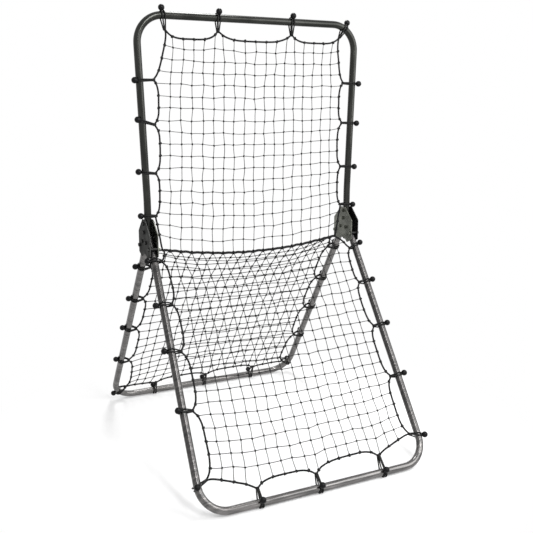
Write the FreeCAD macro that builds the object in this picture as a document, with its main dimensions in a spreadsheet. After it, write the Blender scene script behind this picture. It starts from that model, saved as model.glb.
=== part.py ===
"""Pitch back rebounder: a folding stand of three bent steel tube frames that carries three nets.

An upper frame stands on two hubs. A front and a back leg frame swing in the hubs on pivot bolts and lean
apart when the stand is open. Ball bungees tie the net of each frame to its tube.

Row frame: origin on the floor under the middle of the stand, X across the width, Y from the front bar to
the back bar, Z up. Each flat frame has its own plane: X across, Y along the frame away from the hubs, and
Z square to the frame, outwards on the leg frames and to the front on the upper one.
"""
import FreeCAD, Part
import math
import os
import Sketcher
from FreeCAD import Placement, Rotation, Vector

# Driving sizes: alias, value in millimetres (or degrees, or a count), what it is
SIZES = [
    ("tube_dia", 28.0, "outer diameter of the frame tube"),
    ("tube_wall", 1.2, "wall of the frame tube"),
    ("frame_width", 930.0, "centre to centre of the side tubes at the bars"),
    ("hub_inset", 21.5, "side tube at a hub, inwards from its place at the bars"),
    ("upper_length", 802.0, "from the line between the hub centres up to the top bar"),
    ("leg_length", 1058.0, "from the line between the hub centres down to a floor bar"),
    ("leg_angle", 34.2, "lean of each leg frame from the vertical, open"),
    ("bend_radius", 100.0, "centre line radius of the corner bends"),
    ("bow_radius", 1500.0, "centre line radius of the slight bend below and above a hub"),
    ("bow_start", 130.0, "distance of that slight bend from the hub centre line"),
    ("part_clearance", 0.3, "gap between pieces that lie against each other"),
    ("plate_thick", 3.0, "hub plate"),
    ("plate_top", 54.0, "top of a hub plate over the hub centre"),
    ("plate_bottom", 96.0, "lowest tip of a hub plate under the hub centre"),
    ("plate_top_half", 17.0, "half width of a hub plate at its top"),
    ("plate_half", 71.0, "half width of a hub plate where it is widest"),
    ("plate_shoulder", 3.0, "height of the widest place over the hub centre"),
    ("plate_side_bottom", 80.0, "depth of the straight side under the hub centre"),
    ("plate_tip_half", 36.0, "half distance between the two lower tips of a plate"),
    ("plate_arch", 78.0, "depth of the arch between the tips, under the hub centre"),
    ("plate_corner", 5.0, "rounded corners of a hub plate"),
    ("pivot_half", 22.0, "half distance between the two leg pivots"),
    ("leg_overhang", 12.0, "leg tube past its pivot"),
    ("upper_tube_end", 10.0, "lower end of the upper tube under the hub centre"),
    ("bolt_dia", 8.0, "shank of every hub bolt"),
    ("bolt_gap", 0.2, "radial gap of a bolt in a plate or in the upper tube"),
    ("pivot_gap", 0.05, "radial running gap of a pivot bolt in its bush"),
    ("head_flats", 13.0, "across flats of a bolt head and of a nut"),
    ("head_height", 5.3, "height of a bolt head"),
    ("nut_height", 6.8, "height of a nut"),
    ("bolt_past_nut", 2.0, "end of a bolt past its nut"),
    ("upper_bolt_low", 5.0, "lower bolt of the upper tube, over the hub centre"),
    ("upper_bolt_high", 38.0, "upper bolt of the upper tube, over the hub centre"),
    ("bush_dia", 12.0, "outer diameter of a pivot bush"),
    ("bush_gap", 0.05, "radial gap of a bush in the leg tube"),
    ("sleeve_dia", 12.0, "outer diameter of a stop sleeve"),
    ("stop_reach", 77.0, "place of the stops along the leg, from the hub centre"),
    ("plug_length", 5.5, "end plug inside the tube"),
    ("plug_lip", 1.5, "lip of an end plug"),
    ("cord_dia", 4.0, "bungee cord"),
    ("ball_dia", 24.0, "bungee ball"),
    ("loop_end_radius", 7.0, "bend of a bungee cord round the edge of a net"),
    ("loop_offset", 5.0, "distance of a bungee cord from the knot beside it"),
    ("corner_offset", 13.5, "the same at the corner of a net"),
    ("rope_dia", 8.0, "rope along the fold of the nets"),
    ("rope_end_gap", 54.5, "end of the rope to the middle of its hub, across"),
    ("rope_drop", 66.0, "ends of the rope under the hub centre"),
    ("rope_sag", 34.0, "sag of the rope"),
    ("net_thick", 3.0, "thickness of a net"),
    ("strand_width", 3.6, "width of a strand of a net"),
    ("edge_width", 6.0, "width of the cord that edges a net"),
    ("scallop", 0.12, "depth of the edge between two loops, as a share of their distance"),
    ("upper_edge_gap_low", 31.0, "side tube of the upper frame to its net, at the lowest loop"),
    ("upper_edge_gap_high", 52.0, "the same at the highest loop"),
    ("leg_edge_gap", 33.0, "side tube of a leg frame to its net"),
    ("front_corner_gap", 34.0, "the line of a side tube to the lower corner of the front net"),
    ("back_corner_gap", 47.0, "the line of a side tube to the lower corner of the back net"),
    ("top_edge_gap", 55.0, "top bar to the upper net"),
    ("bar_edge_gap", 55.0, "floor bar to its net"),
    ("upper_corner_left_in", 108.0, "left tube centre at the top bar to the corner of the upper net"),
    ("upper_corner_right_in", 79.0, "right tube centre at the top bar to the corner of the upper net"),
    ("upper_loop_first", 65.0, "lowest loop on an upright, over the hub centre"),
    ("upper_loop_second", 227.0, "second loop on an upright, over the hub centre"),
    ("upper_loop_third", 393.0, "third loop on an upright, under the top bar"),
    ("upper_loop_last", 231.0, "highest loop on an upright, under the top bar"),
    ("top_loop_left", -145.0, "loop on the top bar, left of the middle"),
    ("top_loop_right", 177.0, "loop on the top bar, right of the middle"),
    ("front_loop_first", 121.0, "first loop on a front leg"),
    ("front_loop_last", 114.0, "last loop on a front leg, from the floor bar"),
    ("front_bar_left", -250.0, "left loop on the front floor bar"),
    ("front_bar_middle", -13.0, "middle loop on the front floor bar"),
    ("front_bar_right", 262.0, "right loop on the front floor bar"),
    ("back_loop_first", 171.0, "first loop on a back leg"),
    ("back_loop_last", 62.0, "last loop on a back leg, from the floor bar"),
    ("back_bar_left", -262.0, "left loop on the back floor bar"),
    ("back_bar_middle", -5.0, "middle loop on the back floor bar"),
    ("back_bar_right", 250.0, "right loop on the back floor bar"),
]

LEFT, RIGHT = -1, 1
LOOP_GROWTH = {"front": 0.12, "back": 0.05}                    # each step down a leg grows by this share
EDGE_POWER = 5                                                 # how flat the slack edge of a net hangs
BALL_TURNS = {                                                 # bends of its cord that a ball is turned outwards by
    "upper": {LEFT: (0, 0, 1, 1), RIGHT: (1, 1, 1, 1), "top": (0, 1, 1, 0)},
    "front": {LEFT: (0, 0, 0, 1, 2), RIGHT: (1, 1, 1, 1, 1), "floor": (3, 3, 3)},
    "back": {LEFT: (0, 0, 0, 0, 0), RIGHT: (2, 2, 2, 2, 2), "floor": (3, 3, 3)},
}
BALL_SIDES = 8
BALL_RINGS = (-64.0, -32.0, 0.0, 32.0, 64.0)                   # latitudes of a faceted ball, in degrees
CORD_SIDES = 6
TUBE_TURNS, NET_TURNS = 6, 3                                   # corners of a cord round a tube, round a net
FLOOR_FLAT = 0.1                                               # share of a cord's diameter that is flat below

doc = FreeCAD.newDocument("pitch_back_rebounder")
sheet = doc.addObject("Spreadsheet::Sheet", "Sizes")
for row, (alias, value, meaning) in enumerate(SIZES, start=1):
    sheet.set("A%d" % row, meaning)
    sheet.set("B%d" % row, str(value))
    sheet.setAlias("B%d" % row, alias)
doc.recompute()


class Size:
    """Reads the sheet: size.tube_dia is the number in that cell."""

    def __getattr__(self, alias):
        return float(sheet.get(alias))


size = Size()
nodes = []


def node(label, shape_object):
    """Names a finished sub-part and keeps it for export."""
    shape_object.Label = label
    nodes.append(shape_object)
    return shape_object


def group(label, members):
    """One node that holds a set of like pieces as separate solids."""
    compound = doc.addObject("Part::Compound", label)
    compound.Links = members
    return node(label, compound)


def shape_node(label, shape):
    """One node whose form is worked out by this file's own functions."""
    feature = doc.addObject("Part::Feature", label)
    feature.Shape = shape
    return node(label, feature)


def axis_cylinder(name, radius, length, start):
    """A cylinder along X whose radius and length are expressions on the sheet."""
    cylinder = doc.addObject("Part::Cylinder", name)
    cylinder.setExpression("Radius", radius)
    cylinder.setExpression("Height", length)
    cylinder.Placement = Placement(start, Rotation(Vector(0, 1, 0), 90))
    return cylinder


def cut(name, base, tool):
    """Base less tool."""
    result = doc.addObject("Part::Cut", name)
    result.Base = base
    result.Tool = tool
    return result


def fuse(name, first, second):
    """The two as one solid."""
    result = doc.addObject("Part::Fuse", name)
    result.Base = first
    result.Tool = second
    return result


# Places that follow from the sizes
TUBE_RADIUS = size.tube_dia / 2
HUB_X = size.frame_width / 2 - size.hub_inset
ROPE_HALF = HUB_X - size.rope_end_gap
LEAN = math.radians(size.leg_angle)
PIVOT_REACH = size.pivot_half / math.sin(LEAN)                 # pivot along the leg, from the hub centre
PIVOT_DROP = size.pivot_half / math.tan(LEAN)                  # pivot under the hub centre
LEG_START = PIVOT_REACH - size.leg_overhang
PLATE_INNER = TUBE_RADIUS + size.part_clearance                # hub plane to the near face of a plate
PLATE_OUTER = PLATE_INNER + size.plate_thick
CORD_RADIUS = size.cord_dia / 2
CORD_APOTHEM = CORD_RADIUS * math.cos(math.pi / CORD_SIDES)
TUBE_BEND = TUBE_RADIUS + size.part_clearance + CORD_APOTHEM   # cord's centre line round a tube
BALL_FLAT = size.ball_dia / 2 * math.cos(math.pi / BALL_SIDES)
BALL_REACH = TUBE_BEND + CORD_APOTHEM + size.part_clearance + BALL_FLAT


class Frame:
    """The plane of one tube frame, the line of its tube and the places of its loops."""

    def __init__(self, name, length, start, rotation):
        self.name = name
        self.length = length
        self.start = start
        self.rotation = rotation

    def side_x(self, reach):
        """Distance of the side tube's centre line from the middle, at a distance from the hubs."""
        return HUB_X + math.tan(self.lean()) * max(reach - size.bow_start, 0.0)

    def lean(self):
        """Angle of a side tube to the frame's Y."""
        return math.atan2(size.frame_width / 2 - HUB_X, self.length - size.bow_start)

    def trim(self):
        """Length that the corner bend takes from the bar and from the side."""
        return size.bend_radius * math.tan((math.pi / 2 + self.lean()) / 2)

    def foot(self, x, y):
        """The point of the tube's centre line nearest to a point inside the frame."""
        best = None
        for near in self.line_points(x):
            distance = math.hypot(near[0] - x, near[1] - y)
            if best is None or distance < best[0]:
                best = (distance, near)
        return best[1]

    def line_points(self, x):
        """Points close together along the half of the centre line on the side of x."""
        side = RIGHT if x > 0 else LEFT
        radius, across = size.bend_radius, size.frame_width / 2 - self.trim()
        points = [(side * self.side_x(reach), float(reach))
                  for reach in range(0, int(self.length - self.trim() * math.cos(self.lean())))]
        for step in range(0, 181):
            turn = math.radians(90) - (math.radians(90) + self.lean()) * step / 180
            points.append((side * (across + radius * math.cos(turn)),
                           self.length - radius + radius * math.sin(turn)))
        points += [(side * place, self.length) for place in range(0, int(across))]
        return points


def loop_places(first, last, count, growth):
    """Distances from the hub of the loops on a side tube, with steps that grow evenly."""
    steps = [1 + growth * index for index in range(count - 1)]
    places = [first]
    for step in steps:
        places.append(places[-1] + (last - first) * step / sum(steps))
    return places


def leg_rotation(side):
    """Turns a leg frame's plane so that its Y runs down the leg and its Z faces outwards."""
    along = Vector(0, side * math.sin(LEAN), -math.cos(LEAN))
    across = Vector(side, 0, 0)
    return Rotation(across, along, across.cross(along), "XYZ")


UPPER_ROTATION = Rotation(Vector(1, 0, 0), Vector(0, 0, 1), Vector(0, -1, 0), "XYZ")
FRAMES = {
    "upper": Frame("upper", size.upper_length, -size.upper_tube_end, UPPER_ROTATION),
    "front": Frame("front", size.leg_length, LEG_START, leg_rotation(-1)),
    "back": Frame("back", size.leg_length, LEG_START, leg_rotation(1)),
}


def mirror_x(frame):
    """The front leg frame's own X points to the row's -X, so a row x changes sign in it."""
    return -1 if frame.name == "front" else 1


# Net edges and grids, in a frame's own plane


def bulge(start, end, share, inwards):
    """A point of the slack edge between two loops, which hangs inwards with steep ends."""
    span = math.hypot(end[0] - start[0], end[1] - start[1])
    depth = size.scallop * span * (1 - abs(2 * share - 1) ** EDGE_POWER)
    return (start[0] + (end[0] - start[0]) * share + inwards[0] * depth,
            start[1] + (end[1] - start[1]) * share + inwards[1] * depth)


def slack_edge(knots, counts, inwards, slack):
    """Points along an edge: counts[k] steps between knots k and k + 1, slack where slack[k] is true."""
    points = [knots[0]]
    for index, count in enumerate(counts):
        for step in range(1, count + 1):
            share = step / count
            direction = inwards if slack[index] else (0.0, 0.0)
            points.append(bulge(knots[index], knots[index + 1], share, direction))
    return points


def rope_y(x):
    """Height of the rope's centre line, in the upper frame's plane."""
    return -size.rope_drop - size.rope_sag * (1 - (x / ROPE_HALF) ** 2)


def net_grid(left, right, top, bottom):
    """Knots of a net from its four edges. The pull of an edge dies away towards the middle."""
    rows, columns = len(left) - 1, len(top) - 1
    corners = (top[0], top[-1], bottom[0], bottom[-1])

    def line(start, end, share):
        return [start[k] + (end[k] - start[k]) * share for k in (0, 1)]

    grid = []
    for row in range(rows + 1):
        down = row / rows
        knots = []
        for column in range(columns + 1):
            along = column / columns
            upper = line(corners[0], corners[1], along)
            lower = line(corners[2], corners[3], along)
            point = line(upper, lower, down)
            pulls = (
                (left[row], line(corners[0], corners[2], down), (1 - along) ** 3),
                (right[row], line(corners[1], corners[3], down), along ** 3),
                (top[column], upper, (1 - down) ** 3),
                (bottom[column], lower, down ** 3),
            )
            for edge, straight, weight in pulls:
                point = [point[k] + (edge[k] - straight[k]) * weight for k in (0, 1)]
            knots.append((point[0], point[1]))
        grid.append(knots)
    return grid


def inset(corners, distances):
    """Moves each side of a polygon inwards by its own distance; corners run anticlockwise."""
    lines = []
    for index, start in enumerate(corners):
        end = corners[(index + 1) % len(corners)]
        run = math.hypot(end[0] - start[0], end[1] - start[1])
        direction = ((end[0] - start[0]) / run, (end[1] - start[1]) / run)
        shift = (-direction[1] * distances[index], direction[0] * distances[index])
        lines.append(((start[0] + shift[0], start[1] + shift[1]), direction))
    moved = []
    for index, (point, direction) in enumerate(lines):
        before, heading = lines[index - 1]
        turn = heading[0] * direction[1] - heading[1] * direction[0]
        if abs(turn) < 0.02:
            moved.append(point)
            continue
        gap = (point[0] - before[0], point[1] - before[1])
        share = (gap[0] * direction[1] - gap[1] * direction[0]) / turn
        moved.append((before[0] + heading[0] * share, before[1] + heading[1] * share))
    return moved


def area(corners):
    """Signed area of a polygon, positive when its corners run anticlockwise."""
    pairs = zip(corners, corners[1:] + corners[:1])
    return sum(a[0] * b[1] - b[0] * a[1] for a, b in pairs) / 2


def wire(corners):
    """A closed flat wire through the corners."""
    points = [Vector(x, y, 0) for x, y in corners]
    return Part.makePolygon(points + points[:1])


def net_solid(grid):
    """One flat net: a plate with a gap between each four knots, edged by a wider cord."""
    rows, columns = len(grid) - 1, len(grid[0]) - 1
    half_strand, half_edge = size.strand_width / 2, size.edge_width / 2
    outline = (grid[0] + [line[-1] for line in grid[1:-1]] + grid[-1][::-1]
               + [line[0] for line in grid[-2:0:-1]])
    if area(outline) < 0:
        outline = outline[::-1]
    border = inset(outline, [-half_edge] * len(outline))
    gaps = []
    for row in range(rows):
        for column in range(columns):
            corners = [grid[row][column], grid[row][column + 1],
                       grid[row + 1][column + 1], grid[row + 1][column]]
            sides = [half_edge if row == 0 else half_strand,
                     half_edge if column == columns - 1 else half_strand,
                     half_edge if row == rows - 1 else half_strand,
                     half_edge if column == 0 else half_strand]
            if area(corners) < 0:
                corners = [corners[0], corners[3], corners[2], corners[1]]
                sides = [sides[3], sides[2], sides[1], sides[0]]
            gaps.append(wire(inset(corners, sides)))
    face = Part.Face([wire(border)] + gaps, "Part::FaceMakerBullseye")
    solid = face.extrude(Vector(0, 0, size.net_thick))
    solid.translate(Vector(0, 0, -size.net_thick / 2))
    return solid


# Ball bungees


def faceted_solid(rings, caps):
    """A solid of flat faces between one ring of points and the next, closed by the caps."""
    outlines = list(caps)
    for ring, following in zip(rings, rings[1:]):
        for side in range(len(ring)):
            after = (side + 1) % len(ring)
            outlines.append([ring[side], ring[after], following[after], following[side]])
    faces = [Part.Face(Part.makePolygon(outline + outline[:1])) for outline in outlines]
    solid = Part.Solid(Part.makeShell(faces) if caps else Part.Shell(faces))
    if solid.Volume < 0:
        solid.reverse()
    return solid


def touch_angle(distance):
    """Where a bungee leaves the tube at 0 for the net at distance."""
    return math.acos((TUBE_BEND - size.loop_end_radius) / distance)


def cord_path(distance):
    """Corners of a bungee's centre line in its own plane: round the tube at 0, round the net at distance."""
    net_bend = size.loop_end_radius
    touch = touch_angle(distance)
    corners = []
    for radius, centre, first, span, count in (
            (TUBE_BEND, 0.0, touch, 2 * math.pi - 2 * touch, TUBE_TURNS),
            (net_bend, distance, -touch, 2 * touch, NET_TURNS)):
        step = span / count
        reach = radius / math.cos(step / 2)
        for index in range(count):
            turn = first + step * (index + 0.5)
            corners.append((centre + reach * math.cos(turn), reach * math.sin(turn)))
    return corners


def cord_solid(origin, along, normal, distance):
    """One bungee cord: a six-sided cord, mitred at each corner of its path."""
    path = cord_path(distance)
    across = along.cross(normal)
    rings = []
    for index, corner in enumerate(path):
        before = path[index - 1]
        after = path[(index + 1) % len(path)]
        arrive = Vector(corner[0] - before[0], corner[1] - before[1], 0).normalize()
        leave = Vector(after[0] - corner[0], after[1] - corner[1], 0).normalize()
        bisector = Vector(arrive.y + leave.y, -arrive.x - leave.x, 0).normalize()
        stretch = 1 / math.sqrt((1 + arrive.dot(leave)) / 2)
        ring = []
        for side in range(CORD_SIDES):
            turn = 2 * math.pi * (side + 0.5) / CORD_SIDES
            out = CORD_RADIUS * math.cos(turn) * stretch
            place = Vector(corner[0], corner[1], 0) + bisector * out
            depth = CORD_RADIUS * math.sin(turn)
            ring.append(origin + along * place.x + normal * place.y + across * depth)
        rings.append(ring)
    return faceted_solid(rings + rings[:1], [])


def ball_solid(centre, outwards, tube_line):
    """One bungee ball with eight sides round the tube's direction, of which a flat one faces the tube."""
    sideways = tube_line.cross(outwards)
    rings = []
    for latitude in BALL_RINGS:
        turn = math.radians(latitude)
        radius = size.ball_dia / 2 * math.cos(turn)
        middle = centre + tube_line * (size.ball_dia / 2 * math.sin(turn))
        turns = [2 * math.pi * (side + 0.5) / BALL_SIDES for side in range(BALL_SIDES)]
        rings.append([middle + outwards * (radius * math.cos(turn)) + sideways * (radius * math.sin(turn))
                      for turn in turns])
    return faceted_solid(rings, [rings[0], rings[-1]])


class Bungees:
    """The bungees of one frame: their cords and balls in the frame's plane."""

    def __init__(self, frame):
        self.frame = frame
        self.cords = {}
        self.balls = {}

    def tie(self, kind, knot, neighbour, offset, ball_bends):
        """Ties the net beside a knot, on the side of a neighbour, to the nearest place of the tube.

        The ball sits on a straight run of the cord, so many bends outwards from the tube's far side.
        """
        run = math.hypot(neighbour[0] - knot[0], neighbour[1] - knot[1])
        net = (knot[0] + (neighbour[0] - knot[0]) * offset / run,
               knot[1] + (neighbour[1] - knot[1]) * offset / run)
        tube = self.frame.foot(*net)
        origin = Vector(tube[0], tube[1], 0)
        along = Vector(net[0] - tube[0], net[1] - tube[1], 0)
        distance = along.Length
        along.normalize()
        normal = Vector(0, 0, 1)
        cord = cord_solid(origin, along, normal, distance)
        turn = ball_bends * 2 * (math.pi - touch_angle(distance)) / TUBE_TURNS
        outwards = along * -math.cos(turn) + normal * math.sin(turn)
        self.cords.setdefault(kind, []).append(cord)
        self.balls.setdefault(kind, []).append(ball_solid(origin + outwards * BALL_REACH, outwards,
                                                           along.cross(normal)))


# The three nets and their bungees, in their own planes


def upper_net():
    """The upper net hangs from the top bar and the uprights, and ends along the rope."""
    frame = FRAMES["upper"]
    top_y = size.upper_length - size.top_edge_gap
    corner_x = {LEFT: size.frame_width / 2 - size.upper_corner_left_in,
                RIGHT: size.frame_width / 2 - size.upper_corner_right_in}
    places = [size.upper_loop_first, size.upper_loop_second, size.upper_length - size.upper_loop_third,
              size.upper_length - size.upper_loop_last]
    lift = size.rope_dia / 2 + size.part_clearance + size.edge_width / 2
    steps, slack = (2, 2, 3, 3, 2), (True, True, True, True, False)
    sides = {}
    for side in (LEFT, RIGHT):
        knots = [(side * corner_x[side], top_y)]
        for y in places[::-1]:
            high = (y - places[0]) / (places[-1] - places[0])
            gap = size.upper_edge_gap_low + (size.upper_edge_gap_high - size.upper_edge_gap_low) * high
            knots.append((side * (frame.side_x(y) - gap), y))
        knots += [(side * ROPE_HALF, rope_y(ROPE_HALF) + lift)]
        sides[side] = slack_edge(knots, steps, (-side, 0), slack)
    knots = [(-corner_x[LEFT], top_y), (size.top_loop_left, top_y), (size.top_loop_right, top_y),
             (corner_x[RIGHT], top_y)]
    top = slack_edge(knots, (3, 5, 3), (0, -1), (True, True, True))
    columns = len(top) - 1
    bottom = []
    for column in range(columns + 1):
        x = ROPE_HALF * (2 * column / columns - 1)
        bottom.append((x, rope_y(x) + lift))
    grid = net_grid(sides[LEFT], sides[RIGHT], top, bottom)
    bungees = Bungees(frame)
    turns = BALL_TURNS["upper"]
    for side, edge in sides.items():
        for row, turn in zip((10, 7, 4, 2), turns[side]):
            bungees.tie("side", edge[row], edge[row - 1], size.loop_offset, turn)
    for (column, neighbour), turn in zip(((0, 1), (3, 4), (8, 9), (11, 10)), turns["top"]):
        offset = size.corner_offset if column in (0, 11) else size.loop_offset
        bungees.tie("top", top[column], top[neighbour], offset, turn)
    return grid, bungees


def leg_net(name, first, last, bar_places):
    """A leg net is tied to both legs and to the floor bar; its top edge follows the rope."""
    frame = FRAMES[name]
    places = loop_places(first, frame.length - last, 5, LOOP_GROWTH[name])
    bottom_y = frame.length - size.bar_edge_gap
    corner_gap = size.front_corner_gap if name == "front" else size.back_corner_gap
    sides = {}
    for side in (LEFT, RIGHT):
        knots = [(side * (frame.side_x(y) - size.leg_edge_gap), y) for y in places[:-1]]
        knots.append((side * (frame.side_x(places[-1]) - corner_gap), places[-1]))
        sides[side] = slack_edge(knots, (3, 3, 3, 3), (-side, 0), (True,) * 4)
    corner_x = sides[RIGHT][-1][0]
    knots = [(-corner_x, places[-1])]
    knots += [(x, bottom_y) for x in sorted(mirror_x(frame) * place for place in bar_places)]
    knots += [(corner_x, places[-1])]
    bottom = slack_edge(knots, (3, 3, 3, 3), (0, -1), (True,) * 4)
    columns = len(bottom) - 1
    top = []
    for column in range(columns + 1):
        share = 2 * column / columns - 1
        top.append((share * sides[RIGHT][0][0], places[0] + size.rope_sag * (1 - share ** 2)))
    grid = net_grid(sides[LEFT], sides[RIGHT], top, bottom)
    bungees = Bungees(frame)
    for side, edge in sides.items():
        turns = BALL_TURNS[name][mirror_x(frame) * side]
        bungees.tie("side", edge[0], edge[1], size.corner_offset, turns[0])
        for row, turn in zip((3, 6, 9), turns[1:]):
            bungees.tie("side", edge[row], edge[row - 1], size.loop_offset, turn)
        bungees.tie("side", edge[12], edge[11], size.corner_offset, turns[-1])
    for (column, neighbour), turn in zip(((3, 2), (6, 7), (9, 10)), BALL_TURNS[name]["floor"]):
        bungees.tie("floor", bottom[column], bottom[neighbour], size.loop_offset, turn)
    return grid, bungees


NETS = {
    "upper": upper_net(),
    "front": leg_net("front", size.front_loop_first, size.front_loop_last,
                     (size.front_bar_left, size.front_bar_middle, size.front_bar_right)),
    "back": leg_net("back", size.back_loop_first, size.back_loop_last,
                    (size.back_bar_left, size.back_bar_middle, size.back_bar_right)),
}


def lowest_floor_cord():
    """How far the floor bars' cords reach under the hub centre."""
    lowest = 0.0
    for name in ("front", "back"):
        for cord in NETS[name][1].cords["floor"]:
            for vertex in cord.Vertexes:
                lowest = min(lowest, FRAMES[name].rotation.multVec(vertex.Point).z)
    return -lowest


# The stand rests on flats pressed into the cords under the floor bars
HUB_HEIGHT = lowest_floor_cord() - FLOOR_FLAT * size.cord_dia


def stand_placement(name):
    """Placement of a frame's plane in the open stand."""
    return Placement(Vector(0, 0, HUB_HEIGHT), FRAMES[name].rotation)


def plane_of(body, role):
    """The body's own origin plane with that role."""
    return next(item for item in body.Origin.OriginFeatures if item.Role == role)


# Tube frames


def bent_path(sketch, frame):
    """Centre line of a frame: hub end, slight bow, side, corner and bar, then the same mirrored."""
    half, radius = size.frame_width / 2, size.bend_radius
    lean, trim = frame.lean(), frame.trim()
    bow = size.bow_radius * math.tan(lean / 2)

    def place(reach):
        return Vector(HUB_X + math.tan(lean) * (reach - size.bow_start), reach, 0)

    hub_end = Vector(HUB_X, frame.start, 0)
    bow_in = Vector(HUB_X, size.bow_start - bow, 0)
    bow_out = place(size.bow_start + bow * math.cos(lean))
    side_end = place(frame.length - trim * math.cos(lean))
    bar_end = Vector(half - trim, frame.length, 0)
    bow_centre = Vector(HUB_X + size.bow_radius, bow_in.y, 0)
    bend_centre = Vector(bar_end.x, frame.length - radius, 0)

    def flip(point):
        return Vector(-point.x, point.y, 0)

    def arc(centre, size_of_arc, start, end):
        """Arc between two points, the short way, through the point nearest to their middle."""
        middle = (start + end) * 0.5 - centre
        middle.normalize()
        return Part.Arc(start, centre + middle * size_of_arc, end)

    pieces = [
        Part.LineSegment(flip(hub_end), flip(bow_in)),
        arc(flip(bow_centre), size.bow_radius, flip(bow_in), flip(bow_out)),
        Part.LineSegment(flip(bow_out), flip(side_end)),
        arc(flip(bend_centre), radius, flip(side_end), flip(bar_end)),
        Part.LineSegment(flip(bar_end), bar_end),
        arc(bend_centre, radius, bar_end, side_end),
        Part.LineSegment(side_end, bow_out),
        arc(bow_centre, size.bow_radius, bow_out, bow_in),
        Part.LineSegment(bow_in, hub_end),
    ]
    sketch.addGeometry(pieces, False)
    for index in (3, 5):
        number = sketch.addConstraint(Sketcher.Constraint("Radius", index, radius))
        sketch.setExpression("Constraints[%d]" % number, "Sizes.bend_radius")


def frame_tube(frame, bolt_places, bolt_radius):
    """A bent tube with bolt holes across both of its ends."""
    label = frame.name + "_frame_tube"
    body = doc.addObject("PartDesign::Body", label + "_body")
    path = body.newObject("Sketcher::SketchObject", label + "_path")
    path.AttachmentSupport = [(plane_of(body, "XY_Plane"), "")]
    path.MapMode = "FlatFace"
    bent_path(path, frame)
    ring = body.newObject("Sketcher::SketchObject", label + "_ring")
    ring.AttachmentSupport = [(plane_of(body, "XZ_Plane"), "")]
    ring.MapMode = "FlatFace"
    ring.AttachmentOffset = Placement(Vector(0, 0, -frame.start), Rotation())
    for index, expression in enumerate(("Sizes.tube_dia / 2", "Sizes.tube_dia / 2 - Sizes.tube_wall")):
        radius = TUBE_RADIUS - index * size.tube_wall
        ring.addGeometry(Part.Circle(Vector(-HUB_X, 0, 0), Vector(0, 0, 1), radius), False)
        number = ring.addConstraint(Sketcher.Constraint("Radius", index, radius))
        ring.setExpression("Constraints[%d]" % number, expression)
    doc.recompute()
    pipe = body.newObject("PartDesign::AdditivePipe", label + "_pipe")
    pipe.Profile = ring
    pipe.Spine = (path, ["Edge%d" % number for number in range(1, 10)])
    doc.recompute()
    holes = body.newObject("Sketcher::SketchObject", label + "_holes")
    holes.AttachmentSupport = [(plane_of(body, "YZ_Plane"), "")]
    holes.MapMode = "FlatFace"
    for index, place in enumerate(bolt_places):
        holes.addGeometry(Part.Circle(Vector(place, 0, 0), Vector(0, 0, 1), bolt_radius), False)
    pocket = body.newObject("PartDesign::Pocket", label + "_bolt_holes")
    pocket.Profile = holes
    pocket.Midplane = True
    pocket.Type = "ThroughAll"
    doc.recompute()
    body.Placement = stand_placement(frame.name)
    return node(label, body)


# Hubs


def plate_outline(sketch):
    """Shield outline of a hub plate in the YZ plane: narrow top, straight sides, arched foot."""
    corners = [
        Vector(size.plate_top_half, size.plate_top, 0),
        Vector(-size.plate_top_half, size.plate_top, 0),
        Vector(-size.plate_half, size.plate_shoulder, 0),
        Vector(-size.plate_half, -size.plate_side_bottom, 0),
        Vector(-size.plate_tip_half, -size.plate_bottom, 0),
        Vector(size.plate_tip_half, -size.plate_bottom, 0),
        Vector(size.plate_half, -size.plate_side_bottom, 0),
        Vector(size.plate_half, size.plate_shoulder, 0),
    ]
    pieces = [Part.LineSegment(corners[0], corners[1]),
              Part.LineSegment(corners[1], corners[2]),
              Part.LineSegment(corners[2], corners[3]),
              Part.LineSegment(corners[3], corners[4]),
              Part.Arc(corners[4], Vector(0, -size.plate_arch, 0), corners[5]),
              Part.LineSegment(corners[5], corners[6]),
              Part.LineSegment(corners[6], corners[7]),
              Part.LineSegment(corners[7], corners[0])]
    sketch.addGeometry(pieces, False)


STOP_SIDE = TUBE_RADIUS + size.part_clearance + size.sleeve_dia / 2
STOP_Y = size.stop_reach * math.sin(LEAN) + STOP_SIDE * math.cos(LEAN)
STOP_Z = -size.stop_reach * math.cos(LEAN) + STOP_SIDE * math.sin(LEAN)
UPPER_BOLTS = [(0.0, size.upper_bolt_low), (0.0, size.upper_bolt_high)]
PIVOT_BOLTS = [(-size.pivot_half, -PIVOT_DROP), (size.pivot_half, -PIVOT_DROP)]
STOP_BOLTS = [(-STOP_Y, STOP_Z), (STOP_Y, STOP_Z)]


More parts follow.
